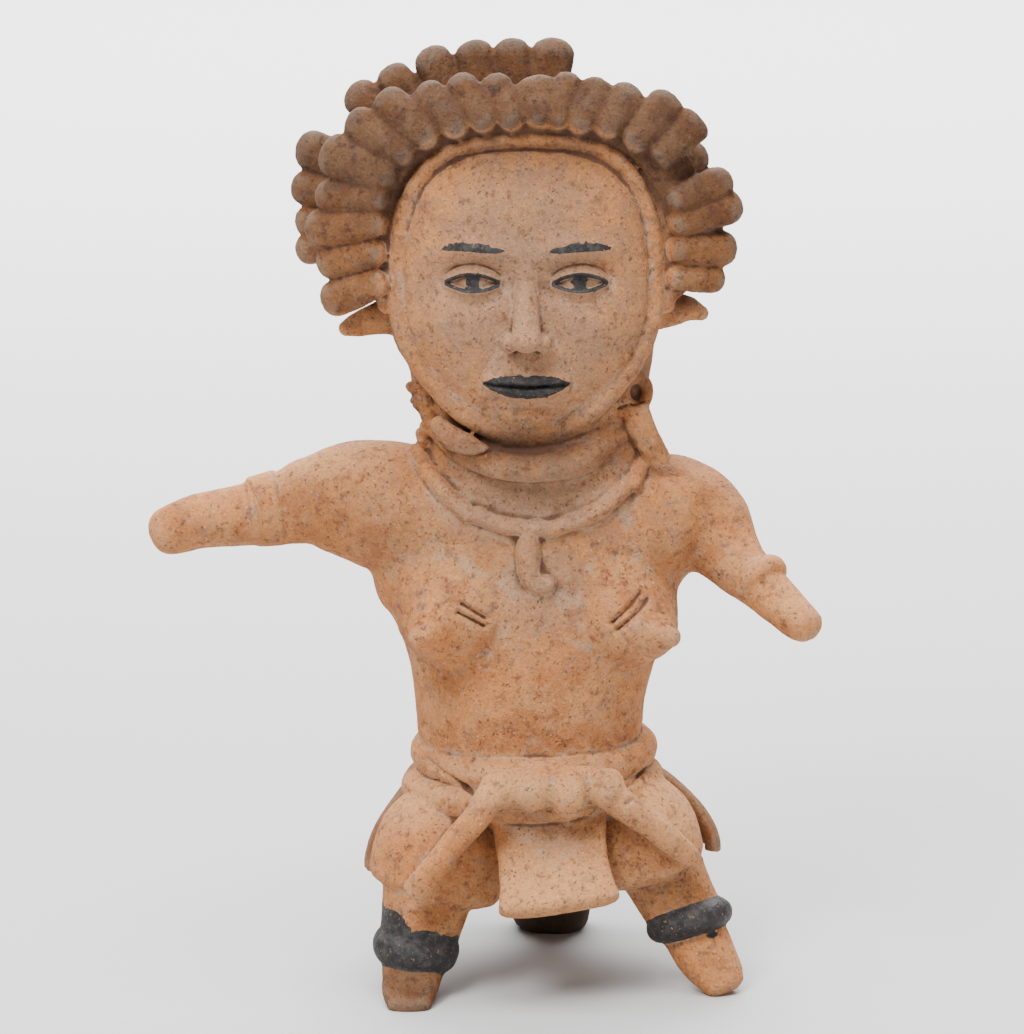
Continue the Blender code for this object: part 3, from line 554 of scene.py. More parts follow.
def crown():
    curve = bpy.data.curves.new("crown", "CURVE")
    curve.dimensions = "2D"
    curve.fill_mode = "BOTH"
    curve.extrude = CROWN_HALF_DEPTH * SHARE
    curve.bevel_depth = CROWN_EDGE * SHARE
    curve.bevel_resolution = 3
    outline = [on_crown(squared_oval(INNER_OVAL, way) + 4, way, 0) for way in CROWN_WAYS]
    for foot_x in (CROWN_X - CROWN_FOOT_HALF, CROWN_X + CROWN_FOOT_HALF):
        outline.append((foot_x, 0, CROWN_FOOT_Z))
    spline = curve.splines.new("POLY")
    spline.points.add(len(outline) - 1)
    spline.use_cyclic_u = True
    for point, (x, _, z) in zip(spline.points, outline):
        point.co = (x * SHARE, z * SHARE, 0, 1)
    obj = new_object("crown", curve)
    obj.rotation_euler = (math.pi / 2, 0, 0)
    obj.location.y = SHARE
    return obj


pressed = [crown()]
print("the crown block is", round(squared_oval(INNER_OVAL, 0) * 2, 1), "shares wide")

# %% Petals
# Direction of the foot, direction of the tip, width, extra reach
FRONT_PETALS = (
    (194.5, 197.6, 15.6, 0),
    (183.0, 186.8, 14.8, -1),
    (170.7, 177.8, 16.6, 4),
    (161.1, 168.1, 14.0, 0),
    (153.3, 156.0, 19.0, 5),
    (142.3, 145.2, 16.0, 3),
    (131.9, 135.3, 16.4, 3),
    (119.4, 125.1, 16.0, -1),
    (107.9, 113.5, 14.4, 0),
    (95.8, 102.7, 14.6, -1),
    (82.0, 88.5, 19.0, 0),
    (77.4, 75.8, 12.4, 0),
    (68.3, 64.7, 15.8, -1.2),
    (57.4, 55.4, 15.6, -1),
    (44.8, 44.9, 17.0, 2.5),
    (34.2, 35.9, 16.0, 3.5),
    (16.3, 17.1, 14.4, -1.5),
    (8.0, 9.8, 15.2, 1),
    (357.7, 357.6, 15.6, -1.5),
    (346.0, 348.6, 12.8, -6),
)
BACK_PETALS = (
    (160.0, 160.6, 17.4, 4),
    (169.5, 170.2, 15.2, 2),
    (178.0, 178.8, 13.6, -0.5),
    (186.0, 186.0, 13.8, -0.5),
    (142.0, 142.0, 16.6, -1.5),
    (132.0, 132.1, 16.4, -2.5),
    (119.8, 119.4, 16.6, 0),
    (107.5, 107.0, 16.8, 0.8),
    (95.5, 94.9, 16.0, 0.6),
    (82.0, 81.4, 18.6, 1.6),
    (3.0, 4.0, 15.0, -16),
    (12.5, 13.5, 14.5, -16),
    (22.0, 23.0, 15.0, -18),
    (353.5, 354.5, 14.5, -16),
)


CHIPPED_PETAL_WAY = 34.2
ROUND_TIP = 0.9
CHIPPED_TIP = 0.45
SNAPPED_TIP = 0.1


def petal(name, foot, tip, width, blunt=ROUND_TIP):
    """A flattened finger of clay that widens towards its tip. A low blunt leaves a snapped end."""
    foot, tip = Vector(foot), Vector(tip)
    half, deep = width / 2, PETAL_THICKNESS / 2 / SHARE
    ahead = (tip - foot).normalized()
    foot, tip = foot + ahead * half * 0.5, tip - ahead * half * 0.8
    return loft(
        name,
        (*foot, half * 0.80, deep * 0.95),
        (*foot.lerp(tip, 0.45), half * 0.93, deep * 1.10),
        (*tip, half * 0.97, deep * 1.02),
        squareness=2.5, blunt=blunt, sides=28,
    )


for foot_way, tip_way, width, reach in FRONT_PETALS:
    up = max(0.0, math.sin(math.radians(foot_way)))
    foot = on_crown(squared_oval(INNER_OVAL, foot_way) - 1, foot_way, -27 - 9 * up)
    tip = on_crown(squared_oval(OUTER_OVAL, tip_way) + reach, tip_way, -19 - 5 * up)
    end = CHIPPED_TIP if foot_way == CHIPPED_PETAL_WAY else ROUND_TIP
    pressed.append(petal("front_petal", foot, tip, width, end))
for foot_way, tip_way, width, reach in BACK_PETALS:
    foot = on_crown(squared_oval(INNER_OVAL, foot_way), foot_way, 13)
    tip = on_crown(squared_oval(BACK_OVAL, tip_way) + reach, tip_way, 17)
    pressed.append(petal("back_petal", foot, tip, width))
for foot, tip, width in (((60, 27, -25), (76, 25.5, -14), 13.5), ((62, 30, -12), (80, 33, -6), 12.5)):
    pressed.append(petal("snapped_petal", on_crown(*foot), on_crown(*tip), width, SNAPPED_TIP))
bed = []
for k in range(25):
    way = 10 + 160 * k / 24
    y = -20 - 8 * math.sin(math.radians(way))
    bed.append(on_crown(squared_oval(INNER_OVAL, way) + 1, way, y))
pressed += coil("petal_bed", bed, PETAL_THICKNESS)
print(len(FRONT_PETALS), "petals in front and", len(BACK_PETALS), "behind")

# %% [markdown]
# ## Hood rim, ears and nose
#
# A coil edges the hood, thin over the brow and broad along the jaw, with a thicker roll behind it
# that the petals are pressed on. Pointed lobes stick out under the lowest petals. Of the two ear
# ornaments, the one at the figure's right is a broken stub, and the other keeps its slit ring and
# its hanging tail.

# %% Hood rim and nose
RIM_POINTS = 120
ROLL_STEPS = 24
rim_way, rim_swell, roll_way, roll_swell = [], [], [], []
for k in range(RIM_POINTS):
    angle = 2 * math.pi * k / RIM_POINTS
    up, down = max(0.0, math.sin(angle)), max(0.0, -math.sin(angle))
    x, z = face_outline(angle, 0.99 - 0.03 * (1 - up))
    rim_way.append((x, -25 - 6 * up - 7 * down, z))
    rim_swell.append(1 + 0.6 * (1 - up) ** 2)
for k in range(ROLL_STEPS + 1):
    angle = math.radians(-4 + 188 * k / ROLL_STEPS)
    up = max(0.0, math.sin(angle))
    x, z = face_outline(angle, 1.05 + 0.03 * up)
    roll_way.append((x, -21 + 4 * up, z))
    roll_swell.append(min(1.0, 0.6 + 0.15 * min(k, ROLL_STEPS - k)))
pressed += coil("hood_rim", rim_way, RIM_COIL, closed=True, swell=rim_swell)
pressed += coil("hood_roll", roll_way, HOOD_ROLL, swell=roll_swell)
pressed.append(loft(
    "nose",
    (FACE_X, FACE_FRONT_Y + 3.4, BROW_Z - 3, 5.6, 3.4),
    (FACE_X, FACE_FRONT_Y + 0.4, EYE_Z - 5, 5.0, 4.2),
    (FACE_X, FACE_FRONT_Y - 4.0, NOSE_BASE_Z + 12, 5.8, 5.0),
    (FACE_X, FACE_FRONT_Y - 6.8, NOSE_BASE_Z + 5.8, 6.6, 5.6),
    blunt=0.7,
))
for side in (-1, 1):
    wing = (FACE_X + side * NOSE_HALF * 0.68, FACE_FRONT_Y - 1.6, NOSE_BASE_Z + 4.8)
    pressed.append(pellet("nose_wing", wing, (4.2, 5.6, 4.0)))
print("pressed on so far:", len(pressed))

# %% Ears
pressed.append(loft(
    "right_lug",
    (-54, -4, 288, 10, 9),
    (-66, -7, 287.2, 7.4, 6.5),
    (-76, -8, 284.4, 5.4, 4.5),
    (-81.5, -8.5, 282.4, 3.4, 3),
))
pressed.append(loft(
    "left_lug",
    (44, -4, 289.5, 10, 9),
    (52.5, -7, 290.0, 7.8, 6.5),
    (61.0, -8, 291.0, 5.8, 5),
    (67.6, -8.5, 289.2, 3.2, 2.8),
))
pressed.append(loft(
    "right_ear_stub",
    (-46, -12, 262, 5, 6),
    (-49, -15, 256, 5.2, 6),
    (-46, -16, 247, 3.4, 4),
))
for centre, radii in (
    ((-52.8, -14, 258.4), (4.2, 4.0, 2.2)),
    ((-51.0, -15, 252.6), (3.4, 4.4, 2.6)),
    ((-46.6, -15, 243.6), (3.6, 5.0, 6.0)),
    ((-47.0, -9, 236.4), (6.0, 6.6, 3.8)),
):
    pressed.append(pellet("right_ear_break", centre, radii, (0.3, 0.4, 0)))
pressed.append(ring("left_ear_ring", (39.8, -19, 257.5), (80, 0, 38), 6.2, 5.4 * SHARE))
pressed.append(loft(
    "left_ear_tail",
    (39.6, -21, 250.6, 6.0, 3.6),
    (42.3, -22, 243.3, 5.8, 4.0),
    (46.2, -21.5, 235.2, 5.2, 4.2),
    (50.2, -20, 228.8, 4.6, 3.8),
    squareness=3.0, blunt=0.6,
))
print("pressed on so far:", len(pressed))

# %% [markdown]
# ## Choker, necklace and pendant
#
# The choker is one thick coil that dips in front under the chin. The necklace is pieced from short
# thin coils whose ends overlap, which is why it bends in corners and not in one curve.

# %% Choker
CHOKER_FRONT_Z = 229.0
CHOKER_SIDE_Z = 252.0
CHOKER_BACK_Z = 248.5


def choker_height(angle):
    front = max(0.0, -math.sin(angle))
    return min(CHOKER_FRONT_Z + (CHOKER_SIDE_Z - CHOKER_FRONT_Z) * (1 - front), CHOKER_BACK_Z)


pressed += coil(
    "choker", oval_way((-3.8, 0), (41.5, 38.5), choker_height), CHOKER_COIL, closed=True
)
pressed.append(loft(
    "choker_lip",
    (-43.0, -27.0, 246.5, 3.0, 3.4),
    (-37.4, -32.5, 240.9, 5.0, 3.8),
    (-29.8, -37.0, 238.2, 4.8, 3.8),
    (-22.0, -40.0, 236.4, 2.6, 2.8),
    squareness=2.6, blunt=0.5,
))
print("the choker is", CHOKER_COIL * 1000, "mm thick")

# %% Necklace and pendant
STRANDS = (
    ((-52.0, 230.0), (-47.2, 224.1), (-39.8, 216.7), (-29.8, 209.2)),
    ((-26.5, 208.6), (-17.0, 205.3), (-7.5, 203.6)),
    ((2.5, 202.8), (14.3, 206.2), (24.4, 210.6)),
    ((26.6, 211.8), (33.0, 217.5), (38.3, 221.4)),
    ((38.6, 220.4), (41.4, 225.8), (43.2, 230.2)),
)
for strand in STRANDS:
    pressed += coil("necklace", lay_on(strand, 0.7), NECKLACE_COIL)
pressed.append(pellet("necklace_knot", lay_on([(-2.0, 203.6)], 1.0)[0], (7.0, 3.8, 3.6)))
HOOK = ((-4.6, 201), (-5.2, 191.5), (-4.6, 184.6), (-1.6, 180.2), (2.4, 179.6))
HOOK_HALVES = (4.1, 4.7, 4.6, 4.3, 3.8)
hook_rows = [(*co, half, 3.8) for co, half in zip(lay_on(HOOK, 0.9), HOOK_HALVES)]
pressed.append(loft("pendant", *hook_rows))
print("the necklace has", len(STRANDS), "strands")

# %% [markdown]
# ## Belt, knot and apron
#
# The belt is a long coil wound twice round the waist. A fat bow lies over it, and its two ends hang
# over the hips, on thin beds of clay that close the gap behind them. The apron is a stiff flap that
# kicks forward to a thick lower edge.

# %% Belt
upper = oval_way((-2.5, 0), (45.4, 37.6), lambda a: 97.9 + 0.9 * math.cos(a) + 1.3 * math.sin(a))
lower = oval_way((-3.0, 0), (48.8, 40.6), lambda a: 83.6 + 1.5 * math.cos(a) - 0.8 * math.sin(a))
pressed += coil("belt_upper", upper, BELT_COIL, closed=True)
pressed += coil("belt_lower", lower, BELT_COIL, closed=True)
print("the belt is", BELT_COIL * 1000, "mm thick")

# %% Knot and tie ends
deep = TIE_THICKNESS / 2 / SHARE
for centre, radii, lean in (
    ((-4.6, -52.4, 94.2), (9.2, 6.2, 8.6), 0.3),
    ((12.2, -53.0, 93.0), (8.8, 6.6, 10.4), 0),
    ((27.0, -51.0, 94.6), (7.6, 6.2, 8.4), -0.35),
):
    pressed.append(pellet("knot_lobe", centre, radii, (0, lean, 0)))
pressed.append(loft(
    "bow",
    (-20.0, -48.0, 92.6, 8.0, deep * 1.1),
    (-10, -50, 94.4, 9.0, deep * 1.15),
    (5, -50.5, 95.6, 8.8, deep * 1.15),
    (20, -50, 95.6, 8.8, deep * 1.15),
    (29.5, -48, 94.6, 8.0, deep * 1.1),
))
pressed.append(loft(
    "tie_right",
    (-20.5, -49.5, 91.5, 6.6, deep),
    (-27, -53.0, 82.5, 5.7, deep),
    (-36, -55.0, 72.5, 5.4, deep),
    (-44.5, -55.5, 61.5, 5.6, deep),
    (-52.0, -54.0, 50.6, 6.2, deep * 0.9),
    squareness=2.3, blunt=0.7,
))
pressed.append(loft(
    "tie_left",
    (29, -49.0, 92, 6.8, deep),
    (37, -50.0, 85.5, 6.1, deep),
    (46, -49.0, 78.5, 5.7, deep * 0.95),
    (55, -46.0, 70.5, 5.4, deep * 0.9),
    (62.2, -41.5, 63.2, 4.6, deep * 0.8),
    (66.2, -38.5, 59.2, 3.2, deep * 0.65),
    squareness=2.3, blunt=0.8,
))
pressed.append(loft(
    "tie_right_bed",
    (-22, -43.5, 88, 5.4, 5.5),
    (-28, -44, 80, 4.6, 8.5),
    (-36, -44, 70.5, 4.4, 10),
    (-43.5, -45, 60.5, 4.6, 9.5),
))
pressed.append(loft(
    "tie_left_bed",
    (30, -42.5, 89, 5.4, 6),
    (38, -42, 83, 4.8, 8),
    (46, -40, 76.5, 4.6, 9),
    (54, -37, 69.5, 4.4, 8.5),
))
print("pressed on so far:", len(pressed))

# %% Apron
deep = APRON_THICKNESS / 2 / SHARE
pressed.append(loft(
    "apron",
    (3.8, -35, 87, 23.8, deep * 0.75),
    (4.0, -39.5, 76, 24.0, deep * 0.8),
    (5.2, -46, 65, 23.2, deep * 0.85),
    (6.6, -53, 55, 23.8, deep),
    (7.8, -59, 46.8, 25.6, deep * 1.1),
    squareness=4.5, blunt=0.8, sides=48,
))
print("the apron's lower edge is", APRON_THICKNESS * 1.1 * 1000, "mm thick")

# %% [markdown]
# ## Hip cloth and skirt
#
# Over each thigh lies a wrapped cloth with a blunt hem. Behind, one thin sheet flares from the belt
# round the back, from hip to hip. A sheet is made as an open surface, and a Solidify modifier gives
# it its thickness.

# %% Hip cloth
pressed.append(loft(
    "hip_cloth_right",
    (-26, -4, 77, 17, 20),
    (-32.8, -8, 70, 22.4, 24.5),
    (-40.8, -14.5, 58.5, 29.2, 29),
    (-45.2, -17, 43.4, 28.6, 29),
    squareness=2.2, blunt=0.3,
))
pressed.append(loft(
    "hip_cloth_left",
    (26, -4, 79, 17, 20),
    (34, -8, 72.5, 20.8, 24.5),
    (42.6, -13, 64, 25.0, 28.5),
    (47.6, -14.8, 51, 24.2, 28.5),
    squareness=2.2, blunt=0.3,
))
print("pressed on so far:", len(pressed))


# %% Skirt sheet
def skirt_sheet():
    across = 64
    half_sweep = math.radians(103)
    # Height, middle, half width, reach behind, raggedness
    levels = smooth_rows(
        (
            (88, -1.5, 47, 34, 0),
            (82, -0.5, 52.5, 39, 0.25),
            (75, 0.6, 59.6, 44, 0.5),
            (66, 1.5, 67.0, 48.5, 0.7),
            (57, 1.9, 72.2, 50.5, 0.85),
            (50, 2.0, 74.4, 51.5, 0.95),
            (45.5, 2.0, 74.6, 52, 1),
        ),
        3,
    )
    bm = bmesh.new()
    grid = []
    for z, middle, wide, far, ragged in levels:
        row = []
        for i in range(across + 1):
            share = 2 * i / across - 1
            angle = share * half_sweep
            wave = 1 + 0.02 * math.cos(5 * angle + 0.6) * ragged
            x = middle + wide * wave * math.sin(angle)
            y = 8 + (far * wave if abs(angle) < math.pi / 2 else 18) * math.cos(angle)
            lift = (4.4 * share + 1.0 * math.sin(7 * share)) * ragged
            row.append(bm.verts.new(Vector((x, y, z + lift)) * SHARE))
        grid.append(row)
    for high, low in zip(grid, grid[1:]):
        for i in range(across):
            bm.faces.new((high[i], high[i + 1], low[i + 1], low[i]))
    obj = mesh_from(bm, "skirt_sheet")
    thick = obj.modifiers.new("Thickness", "SOLIDIFY")
    thick.thickness = SKIRT_THICKNESS
    thick.offset = 0
    return obj


pressed.append(skirt_sheet())
print("the skirt sheet is", SKIRT_THICKNESS * 1000, "mm thick")

# %% [markdown]
# ## Wrist bands, ankle bands and feet
#
# A flat band is pressed on the right wrist and fades out below it. A plump coil lies over the top
# of the left arm only. The ankle bands are thick rings that lean with the legs. The feet taper
# forward and down, and are cut flat later.

# %% Wrist bands
def part_ring(centre, along, radius, start, end):
    """Points of a part of a ring round a limb. 0 degrees is the ring's top."""
    along = Vector(along).normalized()
    top = (Vector((0, 0, 1)) - along * along.z).normalized()
    side = along.cross(top)
    turns = [math.radians(start + (end - start) * k / 6) for k in range(7)]
    return [Vector(centre) + (top * math.cos(a) + side * math.sin(a)) * radius for a in turns]


pressed.append(loft(
    "right_wrist_band",
    (-110.5, -5.4, 205.0, 16.0, 14.9),
    (-121.5, -6.0, 203.4, 14.9, 14.0),
    squareness=2.1, blunt=0.16,
))
cuff = part_ring((91.3, -36.8, 179.2), (9.5, -11, -8), 9.2, -75, 86)
pressed += coil("left_wrist_cuff", cuff, CUFF_COIL, swell=(0.6, 0.85, 1, 1, 1, 0.95, 0.75))
print("pressed on so far:", len(pressed))

# %% Ankle bands and feet
# Middle, radius, thickness in metres, lean to the side and forward in degrees
ANKLE_BANDS = {
    "right_ankle_band": ((-52.6, -34, 19.8), 10.8, RIGHT_ANKLE_COIL, (9, 8)),
    "left_ankle_band": ((63.8, -25, 28.8), 12.6, LEFT_ANKLE_COIL, (-17, -15)),
}
for name, (centre, radius, thickness, lean) in ANKLE_BANDS.items():
    turn = (lean[1], lean[0], 0)
    pressed.append(ring(name, centre, turn, radius, thickness, segments=(64, 24)))
pressed.append(loft(
    "right_foot",
    (-52.5, -33, 19, 14, 13),
    (-54.2, -43, 11, 13, 9.5),
    (-55.3, -52, 5.5, 11.6, 7),
    (-55.3, -58, 2.0, 9.4, 5.2),
    facing=(0, -0.6, 0.8), squareness=2.5, blunt=0.8,
))
pressed.append(loft(
    "left_foot",
    (65, -24.5, 25, 13.2, 12.5),
    (70.2, -30, 16, 12.8, 11),
    (75.8, -34.5, 8.4, 11.3, 8),
    (78.6, -37.5, 4.2, 9.2, 5.8),
    facing=(0.2, -0.75, 0.6), squareness=2.4, blunt=0.7,
))
pressed.append(pellet("right_nipple", (-50.6, -48.0, 159.6), (4.6, 3.8, 4.6)))
pressed.append(pellet("left_nipple", (53.6, -46.6, 159.4), (4.8, 3.8, 4.8)))
print("pressed on in all:", len(pressed))

# %% [markdown]
# ## One fine skin
#
# Everything is closed into one skin again, now with a grain under a millimetre, so that grooves
# between coils and petals stay sharp.

# %% Fine skin
SKIN_GRAIN = 0.0009
SKIN_WORKING = 2
figure = press_together("figure_in_clay", [body] + pressed, SKIN_GRAIN, SKIN_WORKING)
print("the fine skin has", len(figure.data.polygons), "faces")


# %% Read and move the skin
def skin_points():
    co = np.empty(len(figure.data.vertices) * 3)
    figure.data.vertices.foreach_get("co", co)
    return co.reshape(-1, 3) / SHARE


def skin_normals():
    normals = np.empty(len(figure.data.vertices) * 3)
    figure.data.vertex_normals.foreach_get("vector", normals)
    return normals.reshape(-1, 3)


def set_skin(points):
    figure.data.vertices.foreach_set("co", (points * SHARE).ravel())
    figure.data.update()


print("the skin has", len(skin_points()), "points")

# %% [markdown]
# ## The face
#
# The face is modelled as a height over its plain dome: a sum of soft bumps, each one placed by the
# manual's proportions. Broad forms come first, which are brow, sockets, cheeks, lips and chin, and
# then the fine ones, which are lids, the line between the lips, and nostrils. The skin there is
# split finer beforehand.


# %% Broad forms of the face
def bump(value, middle, width):
    return np.exp(-(((value - middle) / width) ** 2))


def brow_height(out):
    return BROW_Z + 2.6 * bump(out, EYE_OUT * 1.1, EYE_HALF * 1.3)


def face_relief(x, z):
    """How far the face stands forward of its dome, in shares."""
    out = np.abs(x - FACE_X)
    eye = out - EYE_OUT
    relief = 2.6 * bump(z, brow_height(out), 5.0) * bump(out, EYE_OUT * 0.9, EYE_HALF * 1.5)
    relief -= 5.2 * bump(eye, -1, EYE_HALF * 1.25) * bump(z, EYE_Z + 0.5, 7.6)
    ball = np.clip(1 - (eye / (EYE_HALF * 1.1)) ** 2 - ((z - EYE_Z) / 8.5) ** 2, 0, 1)
    relief += 5.2 * ball ** 1.3
    relief += 3.0 * bump(out, 31, 14) * bump(z, NOSE_BASE_Z + 10, 14)
    relief -= 1.2 * bump(out - (z - MOUTH_Z) * -0.35, 18, 3.4) * bump(z, MOUTH_Z + 6, 8)
    relief += 4.2 * bump(out, 0, 19) * bump(z, MOUTH_Z, 12)
    relief += 5.0 * bump(out, 0, 12) * bump(z, CHIN_Z + 9, 7.5)
    relief -= 2.6 * bump(out, 0, 13) * bump(z, MOUTH_Z - 10, 3.2)
    relief -= 0.9 * bump(out, 0, 2.6) * bump(z, (MOUTH_Z + NOSE_BASE_Z) / 2 + 1, 4.0)
    return relief


print("deepest point of the eye socket:", round(float(face_relief(np.array([16.0]), EYE_Z)[0]), 2))


# %% Lids, lips and nostrils
def lid_curves(eye):
    """Heights of the upper and the lower edge of the eye's opening."""
    open_share = np.clip(1 - (eye / EYE_HALF) ** 2, 0, 1)
    return EYE_Z + 3.6 * open_share, EYE_Z - 2.4 * open_share


def lip_curves(out):
    """Heights of the upper lip's top, of the line between the lips, and of the lower lip's foot."""
    half = NOSE_HALF * 2.0
    share = np.clip(1 - (out / half) ** 2, 0, 1)
    top = MOUTH_Z + 5.2 * share ** 0.8 - 1.2 * bump(out, 0, 2.6)
    line = MOUTH_Z - 0.4 * bump(out, 0, 6)
    foot = MOUTH_Z - 6.0 * share ** 0.9
    return top, line, foot, share


def face_detail(x, z):
    out = np.abs(x - FACE_X)
    eye = out - EYE_OUT
    upper_lid, lower_lid = lid_curves(eye)
    near = np.clip(1.25 - (eye / EYE_HALF) ** 2, 0, 1) ** 0.5
    relief = 1.7 * bump(z, upper_lid + 1.2, 1.3) * near + 1.2 * bump(z, lower_lid - 1.0, 1.1) * near
    relief -= 1.3 * bump(z, upper_lid + 4.4, 1.2) * near
    opening = np.clip((z - lower_lid) / 0.8, 0, 1) * np.clip((upper_lid - z) / 0.8, 0, 1)
    relief -= 1.2 * opening
    top, line, foot, share = lip_curves(out)
    lips = share ** 0.5
    relief += 3.0 * lips * bump(z, (top + line) / 2, 2.8)
    relief += 3.4 * lips * bump(z, (foot + line) / 2, 3.2)
    relief -= 3.2 * bump(z, line, 0.9) * np.clip(share * 4, 0, 1)
    relief -= 2.2 * bump(out, 4.6, 1.9) * bump(z, NOSE_BASE_Z + 1.0, 1.7)
    return relief


def on_face(points):
    """1 inside the face's outline and 0 outside it, with a soft edge."""
    x, y, z = points.T
    tall = FACE_MIDDLE_Z - CHIN_Z
    away = np.hypot((x - FACE_X) / (FACE_HALF_WIDTH * 0.94), (z - FACE_MIDDLE_Z) / tall)
    return np.clip((1 - away) / 0.12, 0, 1) * (y < -20)


def refine_face():
    """Splits every face of the skin there in four, so that lids and lips come out crisp."""
    inside = on_face(skin_points()) > 0
    bm = bmesh.new()
    bm.from_mesh(figure.data)
    bm.verts.ensure_lookup_table()
    ways = [e for e in bm.edges if inside[e.verts[0].index] and inside[e.verts[1].index]]
    bmesh.ops.subdivide_edges(bm, edges=ways, cuts=1, use_grid_fill=True)
    bmesh.ops.triangulate(bm, faces=[face for face in bm.faces if len(face.verts) > 4])
    bm.to_mesh(figure.data)
    bm.free()


refine_face()
points = skin_points()
x, y, z = points.T
points[:, 1] -= (face_relief(x, z) + face_detail(x, z)) * on_face(points)
set_skin(points)
print("points moved on the face:", int((on_face(points) > 0).sum()))

# %% [markdown]
# ## Lines cut with a stick
#
# Two short lines are cut over each breast. Grooves edge the wrist band, the belt and the bow, a
# faint one runs inside the hood's rim, and cracks run where the choker has broken. Each is a way
# across the front, pushed into the skin with a soft profile.


# %% Cut lines
def line_away(points, way):
    """How far each point is from a way of (x, z) corners, seen from the front."""
    x, _, z = points.T
    nearest = np.full(len(x), 1e9)
    for start, end in zip(way, way[1:]):
        start, end = np.array(start, float), np.array(end, float)
        length = np.linalg.norm(end - start)
        step = (end - start) / length
        along = np.clip((x - start[0]) * step[0] + (z - start[1]) * step[1], 0, length)
        away = np.hypot(x - start[0] - step[0] * along, z - start[1] - step[1] * along)
        nearest = np.minimum(nearest, away)
    return nearest


# Way, half width, depth
CUTS = (
    (((-32.7, 172.6), (-22.3, 165.4)), 1.1, 2.6),
    (((-34.0, 169.2), (-23.1, 161.9)), 1.1, 2.6),
    (((41.8, 176.5), (29.4, 164.1)), 1.1, 2.4),
    (((44.8, 173.9), (31.5, 161.1)), 1.1, 2.4),
    (((-124.0, 217.5), (-119.4, 213.0), (-117.2, 207.0), (-116.6, 200.5)), 0.8, 1.5),
    (((-110.6, 216.0), (-107.6, 210.0), (-106.6, 203.0), (-106.6, 196.5)), 1.0, 0.7),
    (((-41.5, 238.6), (-38.9, 235.2), (-33.4, 234.4), (-26.8, 234.4), (-21.0, 237.1)), 0.6, 2.4),
    (((33.0, 251.6), (36.0, 252.6), (38.6, 253.5), (43.0, 254.0)), 0.5, 1.8),
    (((-15.5, 236.9), (-4.0, 237.0), (8.0, 239.0), (24.6, 244.5)), 0.8, 0.7),
    (((-48.5, 100.0), (-28.7, 89.6)), 0.9, 1.6),
    (((46.3, 94.1), (35.6, 89.1)), 0.9, 1.4),
    (((4.4, 100.0), (4.0, 95.0), (4.8, 88.0)), 2.2, 0.9),
    (((20.6, 100.0), (20.0, 94.0), (20.6, 88.0)), 2.2, 0.9),
    ([face_outline(math.radians(angle), 0.925) for angle in range(-60, 241, 10)], 0.8, 0.8),
)


def cut(points, normals, way, half, depth):
    facing = np.clip(-normals[:, 1] * 2, 0, 1)
    press = depth * bump(line_away(points, way), 0, half) * facing * (points[:, 1] < 0)
    return points - normals * press[:, None]


points = skin_points()
normals = skin_normals()
for way, half, depth in CUTS:
    points = cut(points, normals, way, half, depth)
set_skin(points)
print("lines cut:", len(CUTS))

# %% [markdown]
# ## Worked by hand
#
# Fingers leave a skin that is nowhere quite even. Noise at three sizes moves each point along its
# normal: broad dents, small lumps, and grit. The face is kept smoother. Where the ear ornament and
# a petal have broken away the clay is torn.


# %% Unevenness
def clay_noise(points, size, seed):
    """Smooth noise between about -1 and 1, with features of the given size in shares."""
    shift = Vector((seed * 17.3, seed * 5.1, seed * 9.7))
    return np.array([noise.noise(Vector(p) / size + shift) for p in points])


def face_share(x, z):
    """How far out a point is, in shares of the hood's outline in its direction."""
    across = np.abs(x - FACE_X) / FACE_HALF_WIDTH
    up = np.clip((z - FACE_WIDEST_Z) / (ARCH_TOP_Z - FACE_WIDEST_Z), 0, None)
    down = np.clip((FACE_WIDEST_Z - z) / (FACE_WIDEST_Z - CHIN_Z), 0, None)
    arch = (across ** ARCH_SQUARENESS + up ** ARCH_SQUARENESS) ** (1 / ARCH_SQUARENESS)
    jaw = np.hypot(across / (1 - 0.17 * np.clip(down, 0, 1) ** 1.6), down)
    return np.where(z > FACE_WIDEST_Z, arch, jaw)


def on_headdress(points):
    x, y, z = points.T
    beyond = np.clip((face_share(x, z) - 1.08) / 0.06, 0, 1) * np.clip((z - 290) / 4, 0, 1)
    behind = np.clip((y - 4) / 10, 0, 1) * np.clip((z - 262) / 14, 0, 1)
    feet = np.clip((-37 - y) / 2, 0, 1) * np.clip((z - 350) / 6, 0, 1) * (face_share(x, z) > 0.96)
    return np.maximum(np.maximum(beyond, behind), feet)


def ball_mask(points, centre, reach):
    return np.exp(-((points - np.array(centre)) ** 2 / np.array(reach) ** 2).sum(1))


points = skin_points()
normals = skin_normals()
smoothed = 1 - 0.6 * on_face(points) - 0.45 * on_headdress(points)
torn = ball_mask(points, (-50, -13, 251), (9, 14, 13))
torn = np.maximum(torn, ball_mask(points, (66, -14, 352), (8, 20, 8)))
dents = 0.50 * clay_noise(points, 17.0, 1) + 0.24 * clay_noise(points, 7.0, 2)
grit = (0.10 + 0.12 * on_headdress(points)) * clay_noise(points, 2.4, 3)
tears = 1.3 * torn * clay_noise(points, 3.6, 4)
points += normals * (dents * smoothed + grit + tears)[:, None]
set_skin(points)
print("dents of up to", round(float(np.abs(dents).max()), 2), "shares")

# %% [markdown]
# ## Settle the skin in its frame
#
# The skin is thinned where it is plain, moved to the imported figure's box, and cut flat where it
# stands. Then the figure that is seen and the solid that is simulated share one place.

